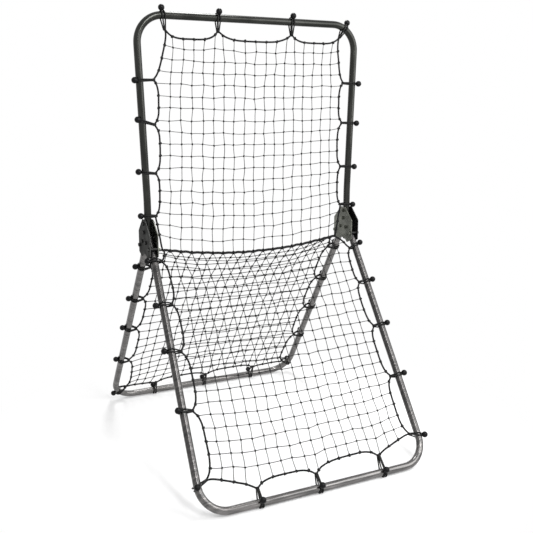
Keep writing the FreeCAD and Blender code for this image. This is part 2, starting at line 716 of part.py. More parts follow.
def hub_plate(label, near_face):
    """One stamped hub plate whose face nearer to the row's -X lies at near_face."""
    body = doc.addObject("PartDesign::Body", label + "_body")
    outline = body.newObject("Sketcher::SketchObject", label + "_outline")
    outline.AttachmentSupport = [(plane_of(body, "YZ_Plane"), "")]
    outline.MapMode = "FlatFace"
    plate_outline(outline)
    pad = body.newObject("PartDesign::Pad", label + "_sheet")
    pad.Profile = outline
    pad.setExpression("Length", "Sizes.plate_thick")
    doc.recompute()
    upright = [name for name, edge in edge_names(pad.Shape) if is_across(edge)]
    rounding = body.newObject("PartDesign::Fillet", label + "_corners")
    rounding.Base = (pad, upright)
    rounding.setExpression("Radius", "Sizes.plate_corner")
    doc.recompute()
    holes = body.newObject("Sketcher::SketchObject", label + "_holes")
    holes.AttachmentSupport = [(plane_of(body, "YZ_Plane"), "")]
    holes.MapMode = "FlatFace"
    for index, (y, z) in enumerate(UPPER_BOLTS + PIVOT_BOLTS + STOP_BOLTS):
        radius = size.bolt_dia / 2 + size.bolt_gap
        holes.addGeometry(Part.Circle(Vector(y, z, 0), Vector(0, 0, 1), radius), False)
        number = holes.addConstraint(Sketcher.Constraint("Radius", index, radius))
        holes.setExpression("Constraints[%d]" % number, "Sizes.bolt_dia / 2 + Sizes.bolt_gap")
    pocket = body.newObject("PartDesign::Pocket", label + "_bolt_holes")
    pocket.Profile = holes
    pocket.Midplane = True
    pocket.Type = "ThroughAll"
    doc.recompute()
    body.Placement = Placement(Vector(near_face, 0, HUB_HEIGHT), Rotation())
    return node(label, body)


def edge_names(shape):
    """Pairs of name and edge of a shape."""
    return [("Edge%d" % (index + 1), edge) for index, edge in enumerate(shape.Edges)]


def is_across(edge):
    """True for a straight edge that runs along X."""
    if len(edge.Vertexes) < 2:
        return False
    run = edge.Vertexes[1].Point - edge.Vertexes[0].Point
    return abs(abs(run.x) - size.plate_thick) < 0.01 and abs(run.y) + abs(run.z) < 0.01


def hub_points(places):
    """Row positions of hub fasteners on both hubs, with the side that each lies on."""
    return [(side, Vector(side * HUB_X, y, HUB_HEIGHT + z)) for side in (LEFT, RIGHT) for y, z in places]


def hexagon(name, height, start):
    """A hexagonal prism along X, for a bolt head or a nut."""
    prism = doc.addObject("Part::Prism", name)
    prism.Polygon = 6
    prism.setExpression("Circumradius", "Sizes.head_flats / 2 / cos(30 deg)")
    prism.setExpression("Height", height)
    prism.Placement = Placement(start, Rotation(Vector(0, 1, 0), 90))
    return prism


def bolts_and_nuts(label, places):
    """Bolts with their heads on the outer plates, and the nuts on the inner plates."""
    bolts, nuts = [], []
    grip = 2 * PLATE_OUTER
    shank = "2 * (Sizes.tube_dia / 2 + 2 * Sizes.part_clearance + Sizes.plate_thick)"
    shank += " + Sizes.nut_height + Sizes.bolt_past_nut"
    for number, (side, point) in enumerate(hub_points(places)):
        head_start = Vector(PLATE_OUTER + size.part_clearance, 0, 0)
        shank_end = Vector(PLATE_OUTER + size.part_clearance, 0, 0)
        length = grip + 2 * size.part_clearance + size.nut_height + size.bolt_past_nut
        nut_far = PLATE_OUTER + size.part_clearance + size.nut_height
        if side == RIGHT:
            head = hexagon("%s_head_%d" % (label, number), "Sizes.head_height", point + head_start)
            rod = axis_cylinder("%s_shank_%d" % (label, number), "Sizes.bolt_dia / 2", shank,
                                point + shank_end - Vector(length, 0, 0))
            nut_start = point - Vector(nut_far, 0, 0)
        else:
            head = hexagon("%s_head_%d" % (label, number), "Sizes.head_height",
                           point - head_start - Vector(size.head_height, 0, 0))
            rod = axis_cylinder("%s_shank_%d" % (label, number), "Sizes.bolt_dia / 2", shank,
                                point - shank_end)
            nut_start = point + Vector(nut_far - size.nut_height, 0, 0)
        bolts.append(fuse("%s_bolt_%d" % (label, number), head, rod))
        blank = hexagon("%s_nut_blank_%d" % (label, number), "Sizes.nut_height", nut_start)
        bore = axis_cylinder("%s_nut_bore_%d" % (label, number), "Sizes.bolt_dia / 2 + Sizes.pivot_gap",
                             "Sizes.nut_height", nut_start)
        nuts.append(cut("%s_nut_%d" % (label, number), blank, bore))
    group(label + "_bolts", bolts)
    group(label + "_nuts", nuts)


def sleeves(label, places, outer, inner, length, length_expression):
    """Short tubes on bolts between the plates, on both hubs."""
    made = []
    for number, (side, point) in enumerate(hub_points(places)):
        start = point - Vector(length / 2, 0, 0)
        blank = axis_cylinder("%s_blank_%d" % (label, number), outer, length_expression, start)
        bore = axis_cylinder("%s_bore_%d" % (label, number), inner, length_expression, start)
        made.append(cut("%s_%d" % (label, number), blank, bore))
    return group(label, made)


def end_plugs(label, frame_name):
    """Plastic plugs in both hub ends of a frame's tube, with a lip on the tube's end."""
    frame = FRAMES[frame_name]
    made = []
    for number, side in enumerate((LEFT, RIGHT)):
        seat = Vector(side * HUB_X, frame.start, 0)
        turn = Rotation(Vector(1, 0, 0), -90)
        stem = doc.addObject("Part::Cylinder", "%s_stem_%d" % (label, number))
        stem.setExpression("Radius", "Sizes.tube_dia / 2 - Sizes.tube_wall - Sizes.bush_gap")
        stem.setExpression("Height", "Sizes.plug_length")
        stem.Placement = Placement(seat, turn)
        lip = doc.addObject("Part::Cylinder", "%s_lip_%d" % (label, number))
        lip.setExpression("Radius", "Sizes.tube_dia / 2")
        lip.setExpression("Height", "Sizes.plug_lip")
        lip.Placement = Placement(seat - Vector(0, size.plug_lip, 0), turn)
        made.append(fuse("%s_%d" % (label, number), stem, lip))
    plugs = group(label, made)
    plugs.Placement = stand_placement(frame_name)
    return plugs


# Construction
frame_tube(FRAMES["upper"], (size.upper_bolt_low, size.upper_bolt_high), size.bolt_dia / 2 + size.bolt_gap)
for leg in ("front", "back"):
    frame_tube(FRAMES[leg], (PIVOT_REACH,), size.bush_dia / 2 + size.bush_gap)

hub_plate("left_hub_outer_plate", -HUB_X - PLATE_OUTER)
hub_plate("left_hub_inner_plate", -HUB_X + PLATE_INNER)
hub_plate("right_hub_inner_plate", HUB_X - PLATE_OUTER)
hub_plate("right_hub_outer_plate", HUB_X + PLATE_INNER)
bolts_and_nuts("upper_tube", UPPER_BOLTS)
bolts_and_nuts("leg_pivot", PIVOT_BOLTS)
bolts_and_nuts("leg_stop", STOP_BOLTS)

GAP_LENGTH = 2 * (PLATE_INNER - size.part_clearance / 2)
GAP_EXPRESSION = "Sizes.tube_dia + Sizes.part_clearance"
sleeves("leg_stop_sleeves", STOP_BOLTS, "Sizes.sleeve_dia / 2", "Sizes.bolt_dia / 2 + Sizes.bolt_gap",
        GAP_LENGTH, GAP_EXPRESSION)
sleeves("front_pivot_bushes", PIVOT_BOLTS[:1], "Sizes.bush_dia / 2", "Sizes.bolt_dia / 2 + Sizes.pivot_gap",
        GAP_LENGTH, GAP_EXPRESSION)
sleeves("back_pivot_bushes", PIVOT_BOLTS[1:], "Sizes.bush_dia / 2", "Sizes.bolt_dia / 2 + Sizes.pivot_gap",
        GAP_LENGTH, GAP_EXPRESSION)
end_plugs("upper_end_plugs", "upper")
end_plugs("front_end_plugs", "front")
end_plugs("back_end_plugs", "back")


def fold_rope():
    """The rope along the fold of the nets: one long even arc between the hubs."""
    radius = (ROPE_HALF ** 2 + size.rope_sag ** 2) / (2 * size.rope_sag)
    half_turn = math.degrees(math.asin(ROPE_HALF / radius))
    rope = doc.addObject("Part::Torus", "net_fold_rope_arc")
    rope.Radius1 = radius
    rope.setExpression("Radius2", "Sizes.rope_dia / 2")
    rope.Angle3 = 2 * half_turn
    centre = Vector(0, 0, HUB_HEIGHT - size.rope_drop - size.rope_sag + radius)
    tilt = Rotation(Vector(1, 0, 0), 90).multiply(Rotation(Vector(0, 0, 1), -90 - half_turn))
    rope.Placement = Placement(centre, tilt)
    return node("net_fold_rope", rope)


fold_rope()


def placed(solid, name):
    """A solid of a frame's plane, moved into the open stand."""
    moved = solid.copy()
    moved.Placement = stand_placement(name).multiply(moved.Placement)
    return moved


def floor_flat(solid):
    """Presses the floor flat into a cord that reaches below the floor."""
    reach = 5 * size.tube_dia
    below = Part.makeBox(2 * reach, 2 * reach, reach, Vector(-reach, -reach, -reach))
    centre = solid.BoundBox.Center
    below.translate(Vector(centre.x, centre.y, 0))
    return solid.cut(below)


for name, (grid, bungees) in NETS.items():
    shape_node(name + "_net", placed(net_solid(grid), name))
    for kind, cords in bungees.cords.items():
        laid = [placed(cord, name) for cord in cords]
        if kind == "floor":
            laid = [floor_flat(cord) for cord in laid]
        shape_node("%s_%s_bungee_cords" % (name, kind), Part.makeCompound(laid))
        balls = [placed(ball, name) for ball in bungees.balls[kind]]
        shape_node("%s_%s_bungee_balls" % (name, kind), Part.makeCompound(balls))

doc.recompute()
faults = [item.Name for item in doc.Objects if "Invalid" in item.State or "Error" in item.State]
for part in nodes:
    shape = part.Shape
    if shape.isNull() or not shape.isValid() or not shape.Solids or shape.Volume <= 0:
        faults.append(part.Label)
if faults:
    raise RuntimeError("not sound: " + ", ".join(faults))

os.makedirs("parts", exist_ok=True)
for part in nodes:
    part.Shape.exportStep("parts/%s.step" % part.Label)
    box = part.Shape.BoundBox
    print("%-28s solids %2d volume %9.0f  x %.1f..%.1f y %.1f..%.1f z %.1f..%.1f" % (
        part.Label, len(part.Shape.Solids), part.Shape.Volume, box.XMin, box.XMax, box.YMin, box.YMax,
        box.ZMin, box.ZMax))
print("hub height %.2f, pivot at y %.2f z %.2f" % (HUB_HEIGHT, size.pivot_half, HUB_HEIGHT - PIVOT_DROP))
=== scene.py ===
"""Dresses the pitch back rebounder: knotted nets, fold rope, ball bungees, painted tubes and steel hubs."""

import logging
import math
import random
from dataclasses import dataclass, field
from enum import Enum
from typing import Callable, Iterable, Sequence

import bmesh
import bpy
from mathutils import Matrix, Vector

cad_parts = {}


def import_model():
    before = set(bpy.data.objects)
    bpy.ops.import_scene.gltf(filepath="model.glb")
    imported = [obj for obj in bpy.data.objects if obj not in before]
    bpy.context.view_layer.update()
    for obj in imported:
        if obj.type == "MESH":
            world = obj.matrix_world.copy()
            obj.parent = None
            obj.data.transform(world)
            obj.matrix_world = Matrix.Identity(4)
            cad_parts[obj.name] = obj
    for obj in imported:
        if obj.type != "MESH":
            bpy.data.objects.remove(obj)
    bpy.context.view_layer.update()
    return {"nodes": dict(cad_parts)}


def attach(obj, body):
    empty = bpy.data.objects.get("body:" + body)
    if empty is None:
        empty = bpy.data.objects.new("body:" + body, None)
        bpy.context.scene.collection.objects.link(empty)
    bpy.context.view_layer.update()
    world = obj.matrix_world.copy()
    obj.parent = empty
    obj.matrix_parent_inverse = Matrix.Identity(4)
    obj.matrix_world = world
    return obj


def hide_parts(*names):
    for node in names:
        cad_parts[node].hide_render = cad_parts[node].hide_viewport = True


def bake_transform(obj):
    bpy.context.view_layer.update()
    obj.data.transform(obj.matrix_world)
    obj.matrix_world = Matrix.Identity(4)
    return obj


log = logging.getLogger("pitch_back")

Colour = tuple[float, float, float]
Flat = tuple[float, float]
Plug = bpy.types.NodeSocket


class Stand(Enum):
    """The three tube frames, by the name of the body that carries each."""

    UPPER = "upper_frame"
    FRONT = "front_leg_frame"
    BACK = "back_leg_frame"


class Side(Enum):
    """The two sides of the stand, by the sign of their X."""

    LEFT = -1
    RIGHT = 1


@dataclass(frozen=True)
class StandSizes:
    """Sizes of the stand in metres: its frames as in the CAD model, its cords as the photograph shows them."""

    tube_dia: float = 0.028
    frame_width: float = 0.930
    hub_x: float = 0.4435
    hub_height: float = 0.89252
    upper_length: float = 0.802
    leg_length: float = 1.058
    lean: float = math.radians(34.2)
    bend_radius: float = 0.100
    bow_start: float = 0.130
    straight_foot: float = 0.100
    ball_dia: float = 0.024
    ball_reach: float = 0.0268
    bungee_dia: float = 0.0054
    border_dia: float = 0.0070
    twine_dia: float = 0.0030
    knot_dia: float = 0.0090
    rope_dia: float = 0.0102
    rope_half: float = 0.389
    rope_drop: float = 0.070
    rope_sag: float = 0.037
    scallop_power: float = 5.0

    def rope_depth(self, x: float) -> float:
        """Depth of the rope under the hub centres at a place across the stand."""
        share = max(-1.0, min(1.0, x / self.rope_half))
        return self.rope_drop + self.rope_sag * (1 - share**2)


SIZES = StandSizes()


@dataclass(frozen=True)
class FramePlane:
    """The plane of one tube frame, measured across the stand and along its side tubes."""

    length: float
    along: Vector
    normal: Vector

    def place(self, x: float, reach: float, proud: float = 0.0) -> Vector:
        """A point so far across, along the frame from the hub centres and out of its plane."""
        return Vector((x, 0.0, SIZES.hub_height)) + self.along * reach + self.normal * proud

    def tilt(self) -> float:
        """Angle that each side tube spreads by, in radians."""
        return math.atan2(SIZES.frame_width / 2 - SIZES.hub_x, self.length - SIZES.bow_start)

    def side_x(self, reach: float) -> float:
        """Distance of a side tube's centre line from the middle of the stand."""
        return SIZES.hub_x + math.tan(self.tilt()) * max(reach - SIZES.bow_start, 0.0)

    def foot(self, x: float, reach: float) -> Flat:
        """The place of the tube's centre line nearest to a point inside the frame.

        Args:
            x: place of the point across the stand.
            reach: distance of the point from the hub centres.

        Returns:
            The nearest place, across and along.
        """
        across, tilt, radius = abs(x), self.tilt(), SIZES.bend_radius
        trim = radius * math.tan((math.pi / 2 + tilt) / 2)
        centre = (SIZES.frame_width / 2 - trim, self.length - radius)
        direction = (math.sin(tilt), math.cos(tilt))
        start = (SIZES.hub_x, SIZES.bow_start)
        run = (across - start[0]) * direction[0] + (reach - start[1]) * direction[1]
        limit = (self.length - trim * math.cos(tilt) - start[1]) / direction[1]
        run = max(-SIZES.straight_foot, min(limit, run))
        turn = max(-tilt, min(math.pi / 2, math.atan2(reach - centre[1], across - centre[0])))
        places = [
            (SIZES.hub_x if run < 0 else start[0] + direction[0] * run, start[1] + direction[1] * run),
            (centre[0] + radius * math.cos(turn), centre[1] + radius * math.sin(turn)),
            (min(across, centre[0]), self.length),
        ]
        best = min(places, key=lambda spot: math.hypot(spot[0] - across, spot[1] - reach))
        return math.copysign(best[0], x), best[1]


def leg_plane(side: int) -> FramePlane:
    """The plane of the front leg frame, for -1, or of the back one, for 1."""
    sine, cosine = math.sin(SIZES.lean), math.cos(SIZES.lean)
    return FramePlane(SIZES.leg_length, Vector((0, side * sine, -cosine)), Vector((0, side * cosine, sine)))


PLANES = {
    Stand.UPPER: FramePlane(SIZES.upper_length, Vector((0, 0, 1)), Vector((0, -1, 0))),
    Stand.FRONT: leg_plane(-1),
    Stand.BACK: leg_plane(1),
}


# Finishes


def grey(level: float) -> Colour:
    """A grey of one level."""
    return (level, level, level)


class NodeBoard:
    """The nodes of a material or of the world, with short calls that add them and link their sockets."""

    def __init__(self, owner: bpy.types.Material | bpy.types.World, output: str) -> None:
        """Clears the board and adds its output.

        Args:
            owner: the material or the world.
            output: type of the output node.
        """
        owner.use_nodes = True
        self.tree = owner.node_tree
        self.tree.nodes.clear()
        self.output = self.add(output)

    def add(self, kind: str, sockets: dict[str | int, object] | None = None,
            **values: object) -> bpy.types.Node:
        """Adds a node.

        Args:
            kind: type of the node.
            sockets: values of its sockets, or what each is linked to.
            values: its properties.

        Returns:
            The new node.
        """
        node = self.tree.nodes.new(kind)
        for name, value in values.items():
            setattr(node, name, value)
        self.fill(node, sockets or {})
        return node

    def fill(self, node: bpy.types.Node, sockets: dict[str | int, object]) -> None:
        """Sets or links sockets of a node.

        Args:
            node: the node.
            sockets: values of its sockets, or what each is linked to.
        """
        for socket, value in sockets.items():
            if isinstance(value, Plug):
                self.tree.links.new(value, node.inputs[socket])
            else:
                node.inputs[socket].default_value = value

    def coordinates(self, output: str = "Object", scale: tuple[float, float, float] = (1, 1, 1)) -> Plug:
        """Object or UV coordinates, scaled on each axis."""
        place = self.add("ShaderNodeTexCoord").outputs[output]
        return self.add("ShaderNodeMapping", {"Scale": scale, "Vector": place}).outputs["Vector"]

    def noise(self, place: Plug, scale: float, detail: float = 3.0, distortion: float = 0.0) -> Plug:
        """Noise of some scale and detail at a place."""
        sockets = {"Vector": place, "Scale": scale, "Detail": detail, "Distortion": distortion}
        return self.add("ShaderNodeTexNoise", sockets).outputs["Fac"]

    def ramp(self, share: Plug, stops: Sequence[tuple[float, Colour]]) -> Plug:
        """A colour by a share.

        Args:
            share: the share to read.
            stops: positions and colours.

        Returns:
            The colour.
        """
        node = self.add("ShaderNodeValToRGB", {"Fac": share})
        band = node.color_ramp
        while len(band.elements) < len(stops):
            band.elements.new(0.5)
        for element, (position, colour) in zip(band.elements, stops):
            element.position = position
            element.color = (*colour, 1.0)
        return node.outputs["Color"]

    def mix(self, share: Plug | float, first: Plug, second: Plug | tuple, blend: str = "MIX") -> Plug:
        """Mixes two colours by a share."""
        sockets = {"Factor": share, 6: first, 7: second}
        return self.add("ShaderNodeMix", sockets, data_type="RGBA", blend_type=blend).outputs[2]

    def bump(self, height: Plug, strength: float, distance: float, under: Plug | None = None) -> Plug:
        """A normal that follows a height.

        Args:
            height: the height to read.
            strength: strength of the bump.
            distance: its height in metres.
            under: a normal that this one adds to.

        Returns:
            The normal.
        """
        sockets = {"Strength": strength, "Distance": distance, "Height": height}
        if under is not None:
            sockets["Normal"] = under
        return self.add("ShaderNodeBump", sockets).outputs["Normal"]

    def scale_of(self, share: Plug, low: float, high: float) -> Plug:
        """A share from 0 to 1, turned into low to high."""
        return self.add("ShaderNodeMapRange", {"Value": share, "To Min": low, "To Max": high}).outputs["Result"]

    def fade(self, value: Plug, first: float, last: float, start: float = 0.0, end: float = 1.0) -> Plug:
        """Goes smoothly from start to end while a value goes from first to last."""
        sockets = {"Value": value, "From Min": first, "From Max": last, "To Min": start, "To Max": end}
        return self.add("ShaderNodeMapRange", sockets, interpolation_type="SMOOTHSTEP").outputs["Result"]

    def calculate(self, operation: str, *terms: Plug | float) -> Plug:
        """One operation on one or two numbers."""
        return self.add("ShaderNodeMath", dict(enumerate(terms)), operation=operation).outputs["Value"]

    def axis(self, name: str) -> Plug:
        """The X, Y or Z of the place on the object."""
        return self.add("ShaderNodeSeparateXYZ", {"Vector": self.coordinates()}).outputs[name]

    def seen(self) -> Plug:
        """Tells the rays that show white: 1 for camera, glossy and transmission rays, 0 for others.

        Returns:
            The number.
        """
        rays = self.add("ShaderNodeLightPath").outputs
        direct = self.calculate("MAXIMUM", rays["Is Camera Ray"], rays["Is Glossy Ray"])
        return self.calculate("MAXIMUM", direct, rays["Is Transmission Ray"])


@dataclass(frozen=True)
class Finish:
    """A finish with the name of its material."""

    name: str

    def make(self) -> bpy.types.Material:
        """Builds the material.

        Returns:
            The material.
        """
        material = bpy.data.materials.new(self.name)
        board = NodeBoard(material, "ShaderNodeOutputMaterial")
        surface = board.add("ShaderNodeBsdfPrincipled")
        board.fill(board.output, {"Surface": surface.outputs["BSDF"]})
        self.lay(board, surface)
        return material

    def lay(self, board: NodeBoard, surface: bpy.types.Node) -> None:
        """Gives the surface its look."""
        raise NotImplementedError


@dataclass(frozen=True)
class HammeredPaint(Finish):
    """Dark metallic enamel on tube, with streaks that run down the tube and a fine hammered skin.

    A floor tint makes the paint lighter towards the floor bar, as painted light reflected from the pale floor.
    """

    shadow: Colour
    body: Colour
    streak: Colour
    lean: float = 0.0
    metallic: float = 0.80
    painted_floor_light: float = 1.0
    smooth: float = 0.15
    rough: float = 0.28

    def lay(self, board: NodeBoard, surface: bpy.types.Node) -> None:
        """Lays the streaks and the skin.

        Args:
            board: the material's board.
            surface: its surface.
        """
        turned = board.add("ShaderNodeVectorRotate", {"Vector": board.coordinates(), "Angle": self.lean},
                           rotation_type="X_AXIS")
        stretched = board.add("ShaderNodeMapping",
                              {"Scale": (0.08, 1.0, 0.08), "Vector": turned.outputs["Vector"]})
        streaks = board.noise(stretched.outputs["Vector"], 150.0, distortion=0.4)
        colour = board.ramp(streaks, [(0.30, self.shadow), (0.52, self.body), (0.76, self.streak)])
        # Painted light: the paint grows lighter near the floor, standing in for the pale floor's reflection.
        if self.painted_floor_light > 1.0:
            tint = board.fade(board.axis("Z"), 0.01, 0.22, self.painted_floor_light, 1.0)
            colour = board.add("ShaderNodeVectorMath", {"Vector": colour, "Scale": tint},
                               operation="SCALE").outputs["Vector"]
        cells = board.add("ShaderNodeTexVoronoi", {"Vector": board.coordinates(), "Scale": 210.0},
                          feature="SMOOTH_F1")
        board.fill(surface, {
            "Metallic": self.metallic,
            "Coat Weight": 0.08,
            "Coat Roughness": 0.25,
            "Base Color": colour,
            "Roughness": board.scale_of(streaks, self.smooth, self.rough),
            "Normal": board.bump(cells.outputs["Distance"], 0.02, 0.0003),
        })


@dataclass(frozen=True)
class BrushedPlate(Finish):
    """Pressed steel plate with a thin black coat and brushing that runs down its face."""

    dark: Colour
    light: Colour
    metallic: float
    roughness: float
    edge_tint: float = 1.0

    def lay(self, board: NodeBoard, surface: bpy.types.Node) -> None:
        """Lays the brushing over soft clouds.

        Args:
            board: the material's board.
            surface: its surface.
        """
        brushing = board.noise(board.coordinates(scale=(1.0, 9.0, 0.7)), 120.0, 4.0)
        clouds = board.noise(board.coordinates(), 22.0)
        blend = board.add("ShaderNodeMix", {"Factor": 0.45, "A": brushing, "B": clouds}, data_type="FLOAT")
        wear = blend.outputs["Result"]
        board.fill(surface, {
            "Metallic": self.metallic,
            "Specular Tint": (*grey(self.edge_tint), 1.0),
            "Base Color": board.ramp(wear, [(0.36, self.dark), (0.64, self.light)]),
            "Roughness": board.scale_of(wear, self.roughness - 0.12, self.roughness + 0.16),
            "Normal": board.bump(brushing, 0.12, 0.0003),
        })


@dataclass(frozen=True)
class ZincSteel(Finish):
    """Plated steel of bolts, nuts and sleeves, a little dull, that may be bare on the nets' side of a hub."""

    dark: Colour
    light: Colour
    roughness: float = 0.34
    edge_tint: float = 1.0
    bare: Colour | None = None

    def lay(self, board: NodeBoard, surface: bpy.types.Node) -> None:
        """Lays the mottled plating.

        Args:
            board: the material's board.
            surface: its surface.
        """
        mottle = board.noise(board.coordinates(), 260.0, 4.0)
        colour = board.ramp(mottle, [(0.35, self.dark), (0.65, self.light)])
        if self.bare is not None:
            inner = board.calculate("LESS_THAN", board.calculate("ABSOLUTE", board.axis("X")), SIZES.hub_x)
            colour = board.mix(inner, colour, (*self.bare, 1.0))
        board.fill(surface, {
            "Metallic": 1.0,
            "Specular Tint": (*grey(self.edge_tint), 1.0),
            "Base Color": colour,
            "Roughness": board.scale_of(mottle, self.roughness - 0.08, self.roughness + 0.14),
            "Normal": board.bump(mottle, 0.08, 0.0002),
        })


@dataclass(frozen=True)
class MouldedPlastic(Finish):
    """Moulded plastic of balls, plugs and bushes with a soft skin."""

    dark: Colour
    light: Colour
    roughness: float
    gloss: float = 0.5

    def lay(self, board: NodeBoard, surface: bpy.types.Node) -> None:
        """Lays soft clouds and the moulded skin.

        Args:
            board: the material's board.
            surface: its surface.
        """
        clouds = board.noise(board.coordinates(), 140.0)
        board.fill(surface, {
            "Specular IOR Level": self.gloss,
            "Base Color": board.ramp(clouds, [(0.35, self.dark), (0.70, self.light)]),
            "Roughness": board.scale_of(clouds, self.roughness - 0.06, self.roughness + 0.10),
            "Normal": board.bump(board.noise(board.coordinates(), 1400.0, 2.0), 0.06, 0.0002),
        })


@dataclass(frozen=True)
class LaidCord(Finish):
    """Twisted or braided cord whose ridges follow its own UV map."""

    dark: Colour
    light: Colour
    roughness: float
    ridge_depth: float
    braided: bool = False

    def ridges(self, board: NodeBoard, way: float) -> Plug:
        """Ridges that wind one way round the cord, for 1, or the other, for -1."""
        sockets = {"Scale": 1.0, "Vector": board.coordinates("UV", (1.0, way, 1.0))}
        return board.add("ShaderNodeTexWave", sockets, bands_direction="DIAGONAL").outputs["Fac"]

    def lay(self, board: NodeBoard, surface: bpy.types.Node) -> None:
        """Lays the ridges and the fuzz of the fibres.

        Args:
            board: the material's board.
            surface: its surface.
        """
        ridge = self.ridges(board, 1.0)
        if self.braided:
            ridge = board.calculate("MAXIMUM", ridge, self.ridges(board, -1.0))
        fuzz = board.noise(board.coordinates(), 700.0)
        colour = board.ramp(ridge, [(0.15, self.dark), (0.85, self.light)])
        shade = board.ramp(fuzz, [(0.3, grey(0.6)), (0.7, grey(1.0))])
        board.fill(surface, {
            "Specular IOR Level": 0.25,
            "Roughness": self.roughness,
            "Base Color": board.mix(0.5, colour, shade, "MULTIPLY"),
            "Normal": board.bump(fuzz, 0.25, 0.0003, board.bump(ridge, 0.7, self.ridge_depth)),
        })


@dataclass(frozen=True)
class FloorWhite(Finish):
    """Matt white under the stand, where its shadow falls, that turns to plain white further out."""

    shadow_radius: float = 0.50
    white_radius: float = 1.20

    def lay(self, board: NodeBoard, surface: bpy.types.Node) -> None:
        """Mixes the matt white and the plain one.

        Args:
            board: the material's board.
            surface: its surface.
        """
        board.fill(surface, {"Base Color": (*grey(0.96), 1.0), "Roughness": 0.9, "Specular IOR Level": 0.1})
        white = board.add("ShaderNodeEmission", {"Strength": 1.0})
        away = board.add("ShaderNodeVectorMath", {0: board.coordinates()}, operation="LENGTH")
        plain = board.fade(away.outputs["Value"], self.shadow_radius, self.white_radius)
        share = board.calculate("MULTIPLY", plain, board.seen())
        mix = board.add("ShaderNodeMixShader",
                        {0: share, 1: surface.outputs["BSDF"], 2: white.outputs["Emission"]})
        board.fill(board.output, {"Surface": mix.outputs["Shader"]})


# One dark enamel in three copies of different lightness: the uprights' copy darker as painted shade, the legs'
# copies lighter as painted light, the back legs' most.
UPRIGHT_SHADED_PAINT = HammeredPaint("upright_enamel_painted_shade", (0.015, 0.016, 0.014), (0.025, 0.026, 0.023),
                              (0.042, 0.043, 0.039))
FRONT_LEG_LIT_PAINT = HammeredPaint("front_leg_enamel_painted_light", grey(0.034), (0.060, 0.058, 0.057),
                                (0.105, 0.100, 0.098), -SIZES.lean, metallic=0.9, painted_floor_light=2.3)
BACK_LEG_LIT_PAINT = HammeredPaint("back_leg_enamel_painted_light", (0.077, 0.075, 0.074), (0.138, 0.134, 0.131),
                               (0.210, 0.201, 0.197), SIZES.lean, metallic=0.9, painted_floor_light=1.18)
OUTER_PLATE = BrushedPlate("outer_plate_steel", grey(0.034), (0.115, 0.116, 0.112), 1.0, 0.42, 0.42)
INNER_PLATE = BrushedPlate("inner_plate_steel", (0.052, 0.055, 0.046), (0.205, 0.211, 0.182), 0.85, 0.36)
BOLT_STEEL = ZincSteel("bolt_black_steel", grey(0.045), (0.095, 0.095, 0.092), 0.40, 0.50,
                       (0.200, 0.206, 0.182))
NUT_STEEL = ZincSteel("nut_grey_steel", (0.130, 0.134, 0.118), (0.260, 0.268, 0.236))
# The sleeves are near black as painted shade, for the dark gap between the hub plates where they sit.
SLEEVE_SHADED_STEEL = ZincSteel("sleeve_steel_painted_shade", grey(0.018), (0.040, 0.040, 0.039), 0.42)
PLUG_PLASTIC = MouldedPlastic("plug_plastic", grey(0.012), grey(0.030), 0.55)
BUSH_PLASTIC = MouldedPlastic("bush_plastic", (0.030, 0.030, 0.031), (0.060, 0.060, 0.062), 0.5)
BALL_PLASTIC = MouldedPlastic("ball_plastic", (0.003, 0.003, 0.0035), (0.007, 0.007, 0.0075), 0.24, 0.12)
TWINE = LaidCord("net_twine", grey(0.003), grey(0.020), 0.8, 0.0006)
BORDER = LaidCord("border_cord", (0.002, 0.002, 0.0025), (0.011, 0.011, 0.012), 0.8, 0.0009)
ROPE = LaidCord("fold_rope", (0.002, 0.002, 0.0025), (0.011, 0.011, 0.012), 0.8, 0.0014)
ELASTIC = LaidCord("bungee_elastic", grey(0.002), grey(0.010), 0.7, 0.0005, True)
NODE_FINISHES: dict[str, Finish] = {
    "upper_frame_tube": UPRIGHT_SHADED_PAINT,
    "front_frame_tube": FRONT_LEG_LIT_PAINT,
    "back_frame_tube": BACK_LEG_LIT_PAINT,
    "outer_plate": OUTER_PLATE,
    "inner_plate": INNER_PLATE,
    "bolts": BOLT_STEEL,
    "nuts": NUT_STEEL,
    "sleeves": SLEEVE_SHADED_STEEL,
    "plugs": PLUG_PLASTIC,
    "bushes": BUSH_PLASTIC,
}


class Dresser:
    """Keeps one material for each finish and gives it to pieces."""

    def __init__(self) -> None:
        """Starts with no material made."""
        self.made: dict[str, bpy.types.Material] = {}

    def dress(self, piece: bpy.types.Object, finish: Finish) -> None:
        """Gives a piece one finish all over.

        Args:
            piece: the piece.
            finish: its finish, whose material is made on its first use.
        """
        if finish.name not in self.made:
            self.made[finish.name] = finish.make()
        material = self.made[finish.name]
        slots = piece.data.materials
        if len(slots) == 0:
            slots.append(material)
        for index in range(len(slots)):
            slots[index] = material


# Modelling helpers


def deselect_all() -> None:
    """Leaves object mode with nothing selected."""
    if bpy.context.object is not None and bpy.context.object.mode != "OBJECT":
        bpy.ops.object.mode_set(mode="OBJECT")
    bpy.ops.object.select_all(action="DESELECT")


def add_piece(name: str, mesh: bpy.types.Mesh) -> bpy.types.Object:
    """Shades a mesh smooth and puts it in the scene.

    Args:
        name: name of the piece.
        mesh: its mesh.

    Returns:
        The piece, at the origin.
    """
    for polygon in mesh.polygons:
        polygon.use_smooth = True
    piece = bpy.data.objects.new(name, mesh)
    bpy.context.scene.collection.objects.link(piece)
    return piece


def stamp(name: str, template: bpy.types.Object, places: Sequence[Matrix]) -> bpy.types.Object:
    """Copies a modelled template to many places, as one piece.

    Args:
        name: name of the piece.
        template: the modelled shape, at the origin.
        places: where each copy goes.

    Returns:
        The piece with all the copies.
    """
    gathered = bmesh.new()
    for place in places:
        copy = template.data.copy()
        copy.transform(place)
        gathered.from_mesh(copy)
        bpy.data.meshes.remove(copy)
    mesh = bpy.data.meshes.new(name)
    gathered.to_mesh(mesh)
    gathered.free()
    return add_piece(name, mesh)


